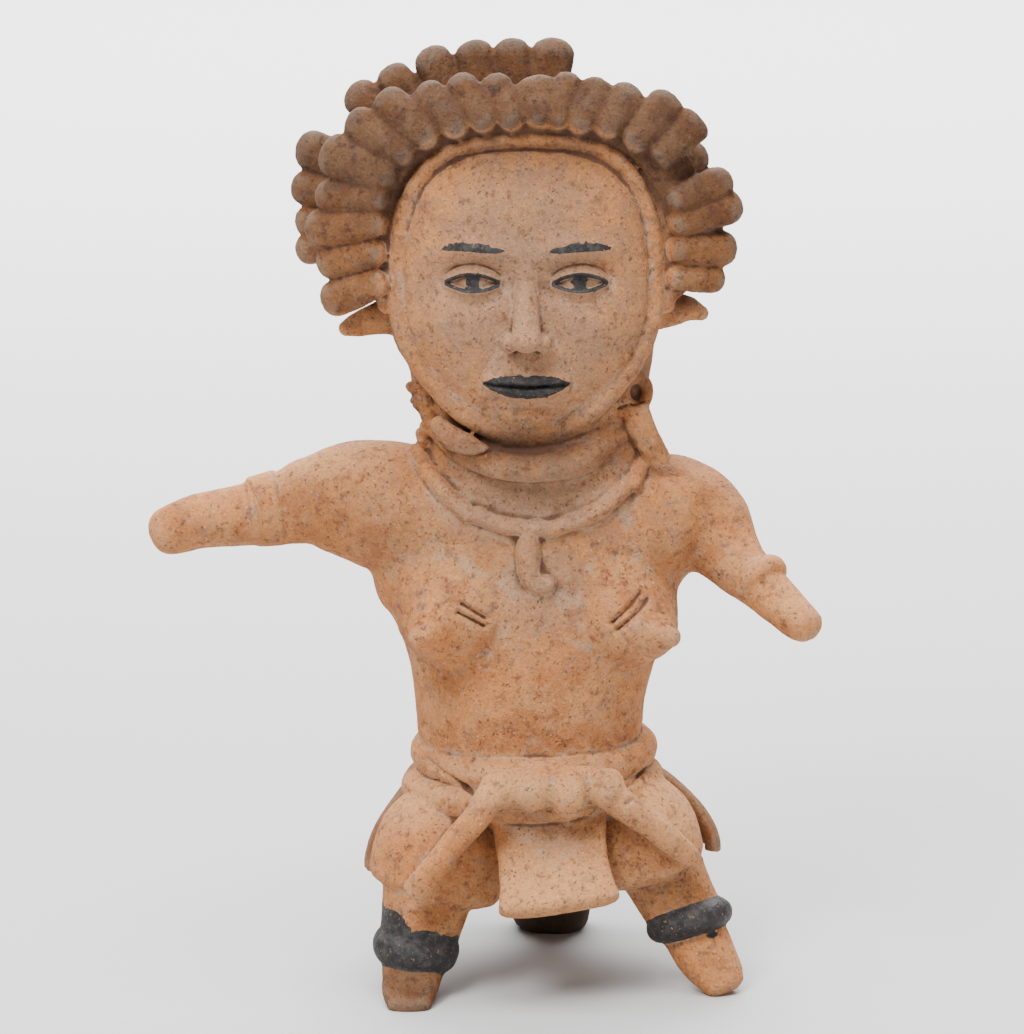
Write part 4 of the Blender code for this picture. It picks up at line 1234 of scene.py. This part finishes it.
# %% Thin, place and cut
SKIN_TRIANGLES = 190000
figure.data.calc_loop_triangles()
facet = figure.modifiers.new("Fewer faces", "DECIMATE")
facet.ratio = min(1.0, SKIN_TRIANGLES / len(figure.data.loop_triangles))
applied(figure)
points = skin_points() * SHARE
skin_middle = (points.min(0) + points.max(0)) / 2
cad_middle = (np.array(cad_box[0]) + np.array(cad_box[1])) / 2
LAYOUT_SHIFT = Vector((cad_middle[0] - skin_middle[0], cad_middle[1] - skin_middle[1], 0))
LAYOUT_SCALE = FIGURE_HEIGHT / points[:, 2].max()
figure.data.transform(Matrix.Translation(LAYOUT_SHIFT))
figure.data.transform(Matrix.Scale(LAYOUT_SCALE, 4))
print("shift in mm:", [round(v * 1000, 2) for v in LAYOUT_SHIFT], "scale", round(LAYOUT_SCALE, 5))

# %% Flat soles
bm = bmesh.new()
bm.from_mesh(figure.data)
flat = bmesh.ops.bisect_plane(
    bm, geom=bm.verts[:] + bm.edges[:] + bm.faces[:],
    plane_co=(0, 0, 0), plane_no=(0, 0, -1), clear_outer=True,
)
rims = [part for part in flat["geom_cut"] if isinstance(part, bmesh.types.BMEdge)]
bmesh.ops.edgenet_fill(bm, edges=rims)
bmesh.ops.triangulate(bm, faces=[face for face in bm.faces if len(face.verts) > 4])
bm.to_mesh(figure.data)
bm.free()
figure.data.shade_smooth()
print("triangles:", sum(len(face.vertices) - 2 for face in figure.data.polygons))

# %% [markdown]
# ## Fired clay
#
# The clay is an even orange, clouded by the fire, with a grey and pink bloom where it lay in the
# ground, dark specks, and black paint on the ankle bands, brows, eyes and lips. Painted shade darkens
# its hollows, creases and shaded places, and painted light brightens the tops of the hips and arms.
# Colour that follows the form, such as dirt and painted shade in a groove, is measured on the mesh
# and kept as an attribute. Colour that doesn't is noise in the shader.


# %% A wrapper for shader maths
class Tone:
    """One output of the clay's nodes. Arithmetic on it adds Math nodes."""

    tree = None

    def __init__(self, socket):
        self.socket = socket

    @classmethod
    def node(cls, kind, settings=None, values=None, out=0):
        """Adds a node, sets its settings first and then its sockets, and gives one output."""
        made = cls.tree.nodes.new(kind)
        for name, value in (settings or {}).items():
            setattr(made, name, value)
        for name, value in (values or {}).items():
            socket = made.inputs[name]
            if isinstance(value, Tone):
                cls.tree.links.new(value.socket, socket)
            else:
                socket.default_value = value
        return cls(made.outputs[out])

    @classmethod
    def maths(cls, operation, first, second):
        return cls.node("ShaderNodeMath", {"operation": operation}, {0: first, 1: second})

    def __add__(self, other):
        return self.maths("ADD", self, other)

    def __mul__(self, other):
        return self.maths("MULTIPLY", self, other)

    def __sub__(self, other):
        return self.maths("SUBTRACT", self, other)

    def __rsub__(self, other):
        return self.maths("SUBTRACT", other, self)

    def between(self, low, high):
        """0 at or below low, 1 at or above high, and a smooth way from one to the other."""
        settings = {"interpolation_type": "SMOOTHSTEP"}
        return Tone.node("ShaderNodeMapRange", settings, {0: self, 1: low, 2: high})

    def mix(self, first, second, blend="MIX"):
        """The first colour where this is 0 and the second where it is 1."""
        settings = {"data_type": "RGBA", "blend_type": blend}
        return Tone.node("ShaderNodeMix", settings, {0: self, 6: first, 7: second}, out=2)

    def tint(self, colour, by):
        """The colour where this is 0, and the colour multiplied by another where it is 1."""
        return self.mix(colour, by, "MULTIPLY")


print("an expression such as 1 - stain * 0.5 now adds its own nodes")

# %% [markdown]
# Measures are taken on the skin. Hollow says how shut in a point is, from rays sent out of the
# surface. Edge says how far a point stands out of its surroundings, and crease how far it sinks
# into them. Paint marks the places that were painted, and soft balls mark broad places of darker
# clay, painted shade, dust and painted light.

# %% Hollows
RAY_REACH = 10 * SHARE
RAY_START = 0.3
RAYS = 20


def spread_directions(count):
    """Directions spread evenly over a half ball round +Z, more of them near its pole."""
    made = []
    for k in range(count):
        up = math.sqrt(1 - (k + 0.5) / count * 0.96)
        turn = k * math.pi * (3 - math.sqrt(5))
        flat_share = math.sqrt(1 - up * up)
        made.append(Vector((flat_share * math.cos(turn), flat_share * math.sin(turn), up)))
    return made


def measure_hollows(mesh):
    tree = BVHTree.FromPolygons([v.co for v in mesh.vertices], [p.vertices for p in mesh.polygons])
    directions = spread_directions(RAYS)
    shut = np.zeros(len(mesh.vertices))
    for i, vertex in enumerate(mesh.vertices):
        turn = vertex.normal.to_track_quat("Z", "Y")
        start = vertex.co + vertex.normal * RAY_START * SHARE
        blocked = 0.0
        for direction in directions:
            far = tree.ray_cast(start, turn @ direction, RAY_REACH)[3]
            if far is not None:
                blocked += 1 - far / RAY_REACH
        shut[i] = blocked / len(directions)
    return shut


hollow = measure_hollows(figure.data)
print("hollow runs from", round(float(hollow.min()), 2), "to", round(float(hollow.max()), 2))


# %% Edges and creases
# Rounds of averaging that make up a point's surroundings
SURROUNDINGS = 12


def neighbour_mean(values, edges, rounds):
    """Each point's value, averaged with its neighbours so many times."""
    count = np.zeros(len(values))
    np.add.at(count, edges.ravel(), 1)
    for _ in range(rounds):
        total = np.zeros_like(values)
        np.add.at(total, edges[:, 0], values[edges[:, 1]])
        np.add.at(total, edges[:, 1], values[edges[:, 0]])
        shape = (-1,) + (1,) * (values.ndim - 1)
        values = 0.5 * values + 0.5 * total / np.maximum(count, 1).reshape(shape)
    return values


edges = np.empty(len(figure.data.edges) * 2, int)
figure.data.edges.foreach_get("vertices", edges)
edges = edges.reshape(-1, 2)
points = skin_points()
normals = skin_normals()
smoothed_points = neighbour_mean(points, edges, SURROUNDINGS)
stand_out = ((points - smoothed_points) * normals).sum(1)
stand_out = neighbour_mean(stand_out, edges, 1)
edge = np.clip(stand_out / np.percentile(np.abs(stand_out), 99), -1, 1)
crease = np.clip(-edge, 0, 1)
print("edge runs from", round(float(edge.min()), 2), "to", round(float(edge.max()), 2))

# %% [markdown]
# The paint follows its forms: both ankle bands, a ragged patch above the right one, small smudges
# by the left one, and on the face the brows, a line round each eye, its iris, and the lips. Its
# worn edges are left to the shader, where noise eats into the mask.

# %% Paint mask
layout = points / LAYOUT_SCALE - np.array(LAYOUT_SHIFT) / SHARE
# Across and up, for the upper edge of the paint on the right shin
RAGGED_EDGE = ((-66.7, 38), (-60.2, 38), (-54.2, 32), (-44.1, 30.7), (-38.2, 26.9))


def band_mask(name):
    """How much of a point belongs to an ankle band, from its distance to the ring's middle line."""
    centre, radius, thickness, lean = ANKLE_BANDS[name]
    from_centre = layout - np.array(centre)
    turn = Matrix.Rotation(math.radians(lean[0]), 3, "Y") @ Matrix.Rotation(
        math.radians(lean[1]), 3, "X"
    )
    local = from_centre @ np.array(turn)
    flat_away = np.hypot(local[:, 0], local[:, 1]) - radius
    away = np.hypot(flat_away, local[:, 2])
    return np.clip((thickness / 2 / SHARE + 1.2 - away) / 1.2, 0, 1) * (flat_away > -3)


def face_paint():
    x, y, z = layout.T
    out = np.abs(x - FACE_X)
    eye = out - EYE_OUT
    upper_lid, lower_lid = lid_curves(eye)
    lined = bump(z, upper_lid + 0.5, 1.1) + bump(z, lower_lid - 0.3, 0.8)
    iris = np.hypot(eye, z - EYE_Z - 0.6)
    seen = (z > lower_lid - 0.5) & (z < upper_lid + 0.5)
    eyes = lined * (np.abs(eye) < EYE_HALF * 1.04) + np.clip(3.6 - iris, 0, 1) * seen
    eyes = np.clip(eyes, 0, 1)
    arch = brow_height(out) + 1.5
    taper = 2.3 * np.sqrt(np.clip(1 - ((eye - 0.5) / (EYE_HALF * 1.25)) ** 2, 0, 1))
    brows = np.clip(taper - np.abs(z - arch), 0, 1)
    top, _, foot, share = lip_curves(out)
    lips = np.clip((top + 0.3 - z) / 0.8, 0, 1) * np.clip((z - foot) / 0.8, 0, 1) * (share > 0)
    return np.maximum(np.maximum(eyes, brows), lips) * (y < -30)


def shin_paint():
    x, y, z = layout.T
    ragged = np.interp(x, *np.transpose(RAGGED_EDGE))
    shin = (np.abs(x + 52) < 17) * (z > 17) * (y < -20)
    return np.clip((ragged + 1 - z) / 2, 0, 1) * shin * 0.75


def in_balls(*balls):
    """The strongest of soft balls, each with its strength, centre and reach."""
    return np.max([share * ball_mask(layout, *ball) for share, *ball in balls], axis=0)


smudges = in_balls(
    (0.62, (73, -36, 25.5), (6, 9, 2.4)),
    (0.70, (51.9, -36, 32.9), (1.4, 6, 1.4)),
)
bands = [band_mask(name) for name in ANKLE_BANDS]
paint = np.max([*bands, face_paint(), shin_paint(), smudges], axis=0)
print("painted points:", int((paint > 0.5).sum()))


# %% Darker clay, painted shade, dust and painted light
x, y, z = layout.T
crown_reach = np.hypot(x - CROWN_X, z - CROWN_MIDDLE_Z)
crown_ways = np.degrees(np.arctan2(z - CROWN_MIDDLE_Z, x - CROWN_X))
inner_reach = np.array([squared_oval(INNER_OVAL, way) for way in crown_ways])
# Painted shade in the recess under the front petals, between their feet and the hood's rim
painted_recess_shade = bump(crown_reach, inner_reach - 1, 7) * np.clip((y + 39) / 4, 0, 1)
painted_recess_shade *= np.clip((z - 318) / 20, 0, 1) * (y < 0)
# Darker behind the hips
behind_hips = np.clip((y + 4) / 8, 0, 1) * np.clip((95 - z) / 6, 0, 1)
# The headdress is darker clay, with painted shade added towards its top
headdress_dark_clay_and_shade = on_headdress(layout) * (0.73 + 0.24 * np.clip((z - 310) / 40, 0, 1))
# Darker clay on the right foot. Painted shade on the left shin under its hip cloth, on the choker
# under the chin, under the petals on the hood's top and the upper forehead, on the upper chest under
# the head, and on the shoulders and upper arms. Darker at the sides of the head below the lugs.
dark_clay_and_shade_places = in_balls(
    (1, (-55, -50, 8), (22, 34, 20)),
    (0.60, (57, -30, 42), (13, 24, 11)),
    (0.90, (-4, -38, 238), (50, 40, 12)),
    (0.60, (-6, -44, 360), (64, 40, 16)),
    (0.40, (-4, -36, 217), (32, 34, 11)),
    (0.65, (-54, -8, 258), (11, 34, 22)),
    (0.55, (44, -8, 258), (9, 30, 20)),
    (0.38, (-76, -8, 206), (34, 40, 26)),
    (0.38, (62, -10, 202), (26, 40, 30)),
    (0.25, (-6, -46, 330), (60, 40, 30)),
)
attributes = {
    "hollow": hollow,
    "edge": edge,
    "crease": crease,
    "paint": paint,
    "dark_clay_and_painted_shade": np.max([headdress_dark_clay_and_shade, painted_recess_shade, dark_clay_and_shade_places, 0.60 * behind_hips], axis=0),
    "dust": in_balls(
        (0.9, (-6, -46, 300), (60, 60, 75)),
        (1, (-3, -36, 214), (46, 60, 24)),
        (0.8, (0, -38, 180), (26, 40, 30)),
        (0.7, (5, -48, 72), (22, 18, 14)),
        (0.5, (0, -44, 84), (80, 60, 22)),
    ),
    # Painted light on the tops of the hips, the belt, the apron's lower edge and the arm tops
    "light": in_balls(
        (0.9, (58, -26, 80), (26, 40, 24)),
        (0.6, (-52, -30, 84), (24, 40, 20)),
        (0.7, (4, -58, 55), (34, 20, 20)),
        (0.8, (0, -44, 95), (64, 40, 9)),
        (0.7, (-100, -6, 226), (60, 30, 10)),
        (0.6, (104, -50, 176), (18, 24, 12)),
    ),
    # Painted shade on the rear support behind the skirt and at the tip of the right foot by the floor
    "painted_shade_near_floor": in_balls(
        (1, (5, 50, 12), (26, 26, 34)),
        (0.50, (-55, -52, 4), (10, 12, 10)),
    ),
}
for name, values in attributes.items():
    layer = figure.data.attributes.new(name, "FLOAT", "POINT")
    layer.data.foreach_set("value", values.astype(np.float32))
print("attributes:", list(attributes))


# %% Material
def linear(red, green, blue):
    """A colour as a painter names it, 0 to 255, in the linear values that shaders use."""
    made = []
    for channel in (red, green, blue):
        share = channel / 255
        made.append(share / 12.92 if share <= 0.04045 else ((share + 0.055) / 1.055) ** 2.4)
    return (*made, 1)


ORANGE = linear(192, 125, 72)
DEEP_ORANGE = linear(170, 106, 61)
TAN = linear(186, 130, 85)
GREY_TAN = linear(166, 124, 93)
# Painted light on tops that face the lamps
PAINTED_LIGHT_TAN = linear(212, 156, 106)
BLOOM = linear(148, 118, 97)
STAIN = linear(132, 86, 62)
SPECK = linear(78, 56, 47)
# Dirt and painted shade in hollows and creases
GROOVE_DIRT_AND_SHADE = linear(78, 52, 40)
PALE = linear(212, 174, 138)
DUST = linear(178, 148, 120)
BLACK = linear(36, 35, 35)
WORN_BLACK = linear(62, 59, 57)
# Painted shade on the rear support and at the right foot's tip
PAINTED_SHADE_BROWN = linear(62, 47, 39)
# Tint of the darker clay and of painted shade
DARK_CLAY_AND_SHADE_TINT = (0.22, 0.24, 0.29, 1)
FINE_SHADE = (0.72, 0.70, 0.70, 1)
MOTTLE_SHADE = (0.74, 0.70, 0.66, 1)

clay = bpy.data.materials.new("fired_clay")
clay.use_nodes = True
Tone.tree = clay.node_tree
shader = clay.node_tree.nodes["Principled BSDF"]
place = Tone.node("ShaderNodeTexCoord", out="Object")


def mask(name):
    return Tone.node("ShaderNodeAttribute", {"attribute_name": name}, out="Fac")


def grain(size, detail=2.0, rough=0.5, seed=0.0, distortion=0.0):
    """Noise with features of so many millimetres."""
    values = {
        "Vector": place, "W": seed, "Scale": 1000 / size, "Detail": detail,
        "Roughness": rough, "Distortion": distortion,
    }
    return Tone.node("ShaderNodeTexNoise", {"noise_dimensions": "4D"}, values)


print("colours and noise are ready")

# %% Clay body
clouds = grain(38, 3, 0.55, seed=1)
patches = grain(12, 4, 0.62, seed=2)
mottle = grain(3.4, 4, 0.7, seed=3)
pits = grain(1.5, 2, 0.55, seed=4).between(0.60, 0.70)
fine = grain(0.9, 2, 0.6, seed=5)
dusty = mask("dust")
body_colour = clouds.between(0.38, 0.60).mix(ORANGE, TAN)
body_colour = (patches.between(0.46, 0.60) * 0.7).mix(body_colour, DEEP_ORANGE)
body_colour = (dusty + (patches - 0.5) * 1.2).between(0.25, 0.85).mix(body_colour, GREY_TAN)
bloom_noise = grain(7, 5, 0.68, seed=6, distortion=0.4)
bloom = bloom_noise.between(0.52, 0.62) * mottle.between(0.42, 0.58) * 0.7
body_colour = bloom.mix(body_colour, BLOOM)
# Painted light: the tops of the hips, the belt, the apron's lower edge and the arm tops are lighter
light = (mask("light") + (patches - 0.5) * 0.4).between(0.15, 0.85)
body_colour = (light * 0.75).mix(body_colour, PAINTED_LIGHT_TAN)
stain_noise = grain(8, 5, 0.70, seed=7, distortion=0.3) * 0.5 + mottle * 0.5
stain = stain_noise.between(0.50, 0.62) * (0.75 - dusty * 0.45)
body_colour = stain.mix(body_colour, STAIN)
print("nodes so far:", len(clay.node_tree.nodes))

# %% Flecks, crusts, wear and painted highlights on rims
hollow_mask = mask("hollow")
edge_mask = mask("edge")
crease_mask = mask("crease")
dark_clay_and_painted_shade = mask("dark_clay_and_painted_shade")
bare = 1 - dark_clay_and_painted_shade * 0.8
flecks = grain(1.2, 2, 0.5, seed=8).between(0.62, 0.72)
body_colour = (flecks * 0.45).mix(body_colour, PALE)
crust = hollow_mask.between(0.24, 0.42) * bloom_noise.between(0.44, 0.58) * 0.5
body_colour = (crust * bare).mix(body_colour, DUST)
powder = crease_mask.between(0.04, 0.22) * bloom_noise.between(0.42, 0.58) * 0.6
body_colour = (powder * bare).mix(body_colour, DUST)
worn = edge_mask.between(0.45, 1.0) * mottle.between(0.40, 0.60) * 0.35
# Painted highlight along the raised edges of the darker clay, such as the petals' rims
rims = edge_mask.between(0.35, 0.9) * dark_clay_and_painted_shade * 0.35
body_colour = (worn + rims).mix(body_colour, PALE)
print("nodes so far:", len(clay.node_tree.nodes))

# %% Darker clay, painted shade, pits and dirt
# Darker clay on the headdress and the right foot, and painted shade in the shaded places, from the
# mask above
body_colour = (dark_clay_and_painted_shade + (patches - 0.5) * 0.25).tint(body_colour, DARK_CLAY_AND_SHADE_TINT)
body_colour = (pits * 0.6).mix(body_colour, SPECK)
body_colour = (0.7 - fine).between(0.0, 0.45).tint(body_colour, FINE_SHADE)
body_colour = mottle.between(0.52, 0.70).tint(body_colour, MOTTLE_SHADE)
# Darker in hollows: partly dirt, partly painted shade
hollow_dirt_and_shade = (hollow_mask + (mottle - 0.5) * 0.25).between(0.38, 0.80) * 0.9
body_colour = hollow_dirt_and_shade.mix(body_colour, GROOVE_DIRT_AND_SHADE)
# Darker lines in creases and joints: partly dirt, partly painted shade, stronger in the darker places
line = (crease_mask + dark_clay_and_painted_shade * 0.16 + (mottle - 0.5) * 0.25).between(0.26, 0.75) * 0.85
body_colour = line.mix(body_colour, GROOVE_DIRT_AND_SHADE)
# Painted shade on the rear support and at the right foot's tip
body_colour = (mask("painted_shade_near_floor") + (patches - 0.5) * 0.3).between(0.25, 0.7).mix(body_colour, PAINTED_SHADE_BROWN)
print("nodes so far:", len(clay.node_tree.nodes))

# %% Black paint
chips = grain(1.5, 3, 0.65, seed=9).between(0.61, 0.67)
wear = grain(3.0, 3, 0.6, seed=10)
painted = (mask("paint") + (wear - 0.5) * 0.5).between(0.42, 0.52) * (1 - chips * 0.75)
black = grain(3, 3, 0.6, seed=11).between(0.40, 0.70).mix(BLACK, WORN_BLACK)
body_colour = painted.mix(body_colour, black)
Tone.tree.links.new(body_colour.socket, shader.inputs["Base Color"])
roughness = 0.92 - painted * 0.30 - edge_mask.between(0.2, 1.0) * 0.06
Tone.tree.links.new(roughness.socket, shader.inputs["Roughness"])
print("nodes so far:", len(clay.node_tree.nodes))

# %% Fine surface
shader.inputs["Specular IOR Level"].default_value = 0.25
relief = mottle * 0.5 + fine * 0.45 - pits * 0.35 - painted * 0.05
surface = Tone.node(
    "ShaderNodeBump", None, {"Strength": 0.8, "Distance": 0.0010, "Height": relief}
)
Tone.tree.links.new(surface.socket, shader.inputs["Normal"])
figure.data.materials.clear()
figure.data.materials.append(clay)
print("nodes in all:", len(clay.node_tree.nodes))

# %% [markdown]
# ## Join the figure to its frame

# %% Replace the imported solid
figure.name = "fired_clay_figure"
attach(figure, "root")
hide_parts(NODE)
print("the figure stands for", NODE)

# %% [markdown]
# ## Floor, light and camera
#
# The figure stands on a plain pale floor in soft studio light: a key light from its right, an even
# light from above, a weak fill, and a wide light on the floor behind it. The camera is a little
# above the figure and looks down on it by 13 degrees.

# %% Floor
FLOOR_WIDE_M = 24
FLOOR_GREY = (0.5, 0.5, 0.5, 1)
bpy.ops.mesh.primitive_plane_add(size=FLOOR_WIDE_M)
floor = bpy.context.object
floor.name = "floor"
pale = bpy.data.materials.new("pale_floor")
pale.use_nodes = True
floor_shader = pale.node_tree.nodes["Principled BSDF"]
floor_shader.inputs["Base Color"].default_value = FLOOR_GREY
floor_shader.inputs["Roughness"].default_value = 0.9
floor.data.materials.append(pale)
print("the floor is", round(floor.dimensions.x, 1), "m wide")


# %% Lights
def soft_light(name, place_m, power, size, aim=(0, 0, 0.22)):
    data = bpy.data.lights.new(name, "AREA")
    data.energy = power
    data.size = size
    light = new_object(name, data)
    light.location = place_m
    light.rotation_euler = (Vector(aim) - Vector(place_m)).to_track_quat("-Z", "Y").to_euler()


def sky_light(name, power, spread_degrees, lean_degrees):
    """An even light from above, soft enough to stand for a ceiling of lamps."""
    data = bpy.data.lights.new(name, "SUN")
    data.energy = power
    data.angle = math.radians(spread_degrees)
    new_object(name, data).rotation_euler.x = math.radians(lean_degrees)


soft_light("key", (-0.65, -1.0, 1.6), 40, 0.6)
sky_light("overhead", 4.5, 40, 8)
soft_light("fill", (1.2, -1.2, 0.75), 7, 1.2)
soft_light("background", (0, 3.6, 2.4), 800, 4.5, aim=(0, 3.8, 0))
world = bpy.data.worlds.new("studio")
bpy.context.scene.world = world
world.use_nodes = True
room = world.node_tree.nodes["Background"]
room.inputs["Color"].default_value = (1, 1, 1, 1)
room.inputs["Strength"].default_value = 0.2

# %% Camera
TILT = math.radians(13)
CAMERA_DISTANCE = 1900.0
CAMERA_SIDE = -11.88
CAMERA_AIM_Z = 199.667
PICTURE_TALL = 1034
SHARES_PER_PIXEL = 0.4243
SENSOR_MM = 36
camera_data = bpy.data.cameras.new("camera")
camera_data.sensor_fit = "VERTICAL"
camera_data.sensor_width = SENSOR_MM
camera_data.sensor_height = SENSOR_MM
camera_data.lens = SENSOR_MM * CAMERA_DISTANCE / SHARES_PER_PIXEL / PICTURE_TALL
camera = new_object("camera", camera_data)
spot = Vector((
    CAMERA_SIDE,
    -CAMERA_DISTANCE * math.cos(TILT),
    CAMERA_AIM_Z + CAMERA_DISTANCE * math.sin(TILT),
)) * SHARE
camera.location = (spot + LAYOUT_SHIFT) * LAYOUT_SCALE
camera.rotation_euler = (math.pi / 2 - TILT, 0, 0)
bpy.context.scene.camera = camera
print("lens in mm:", round(camera_data.lens, 1))
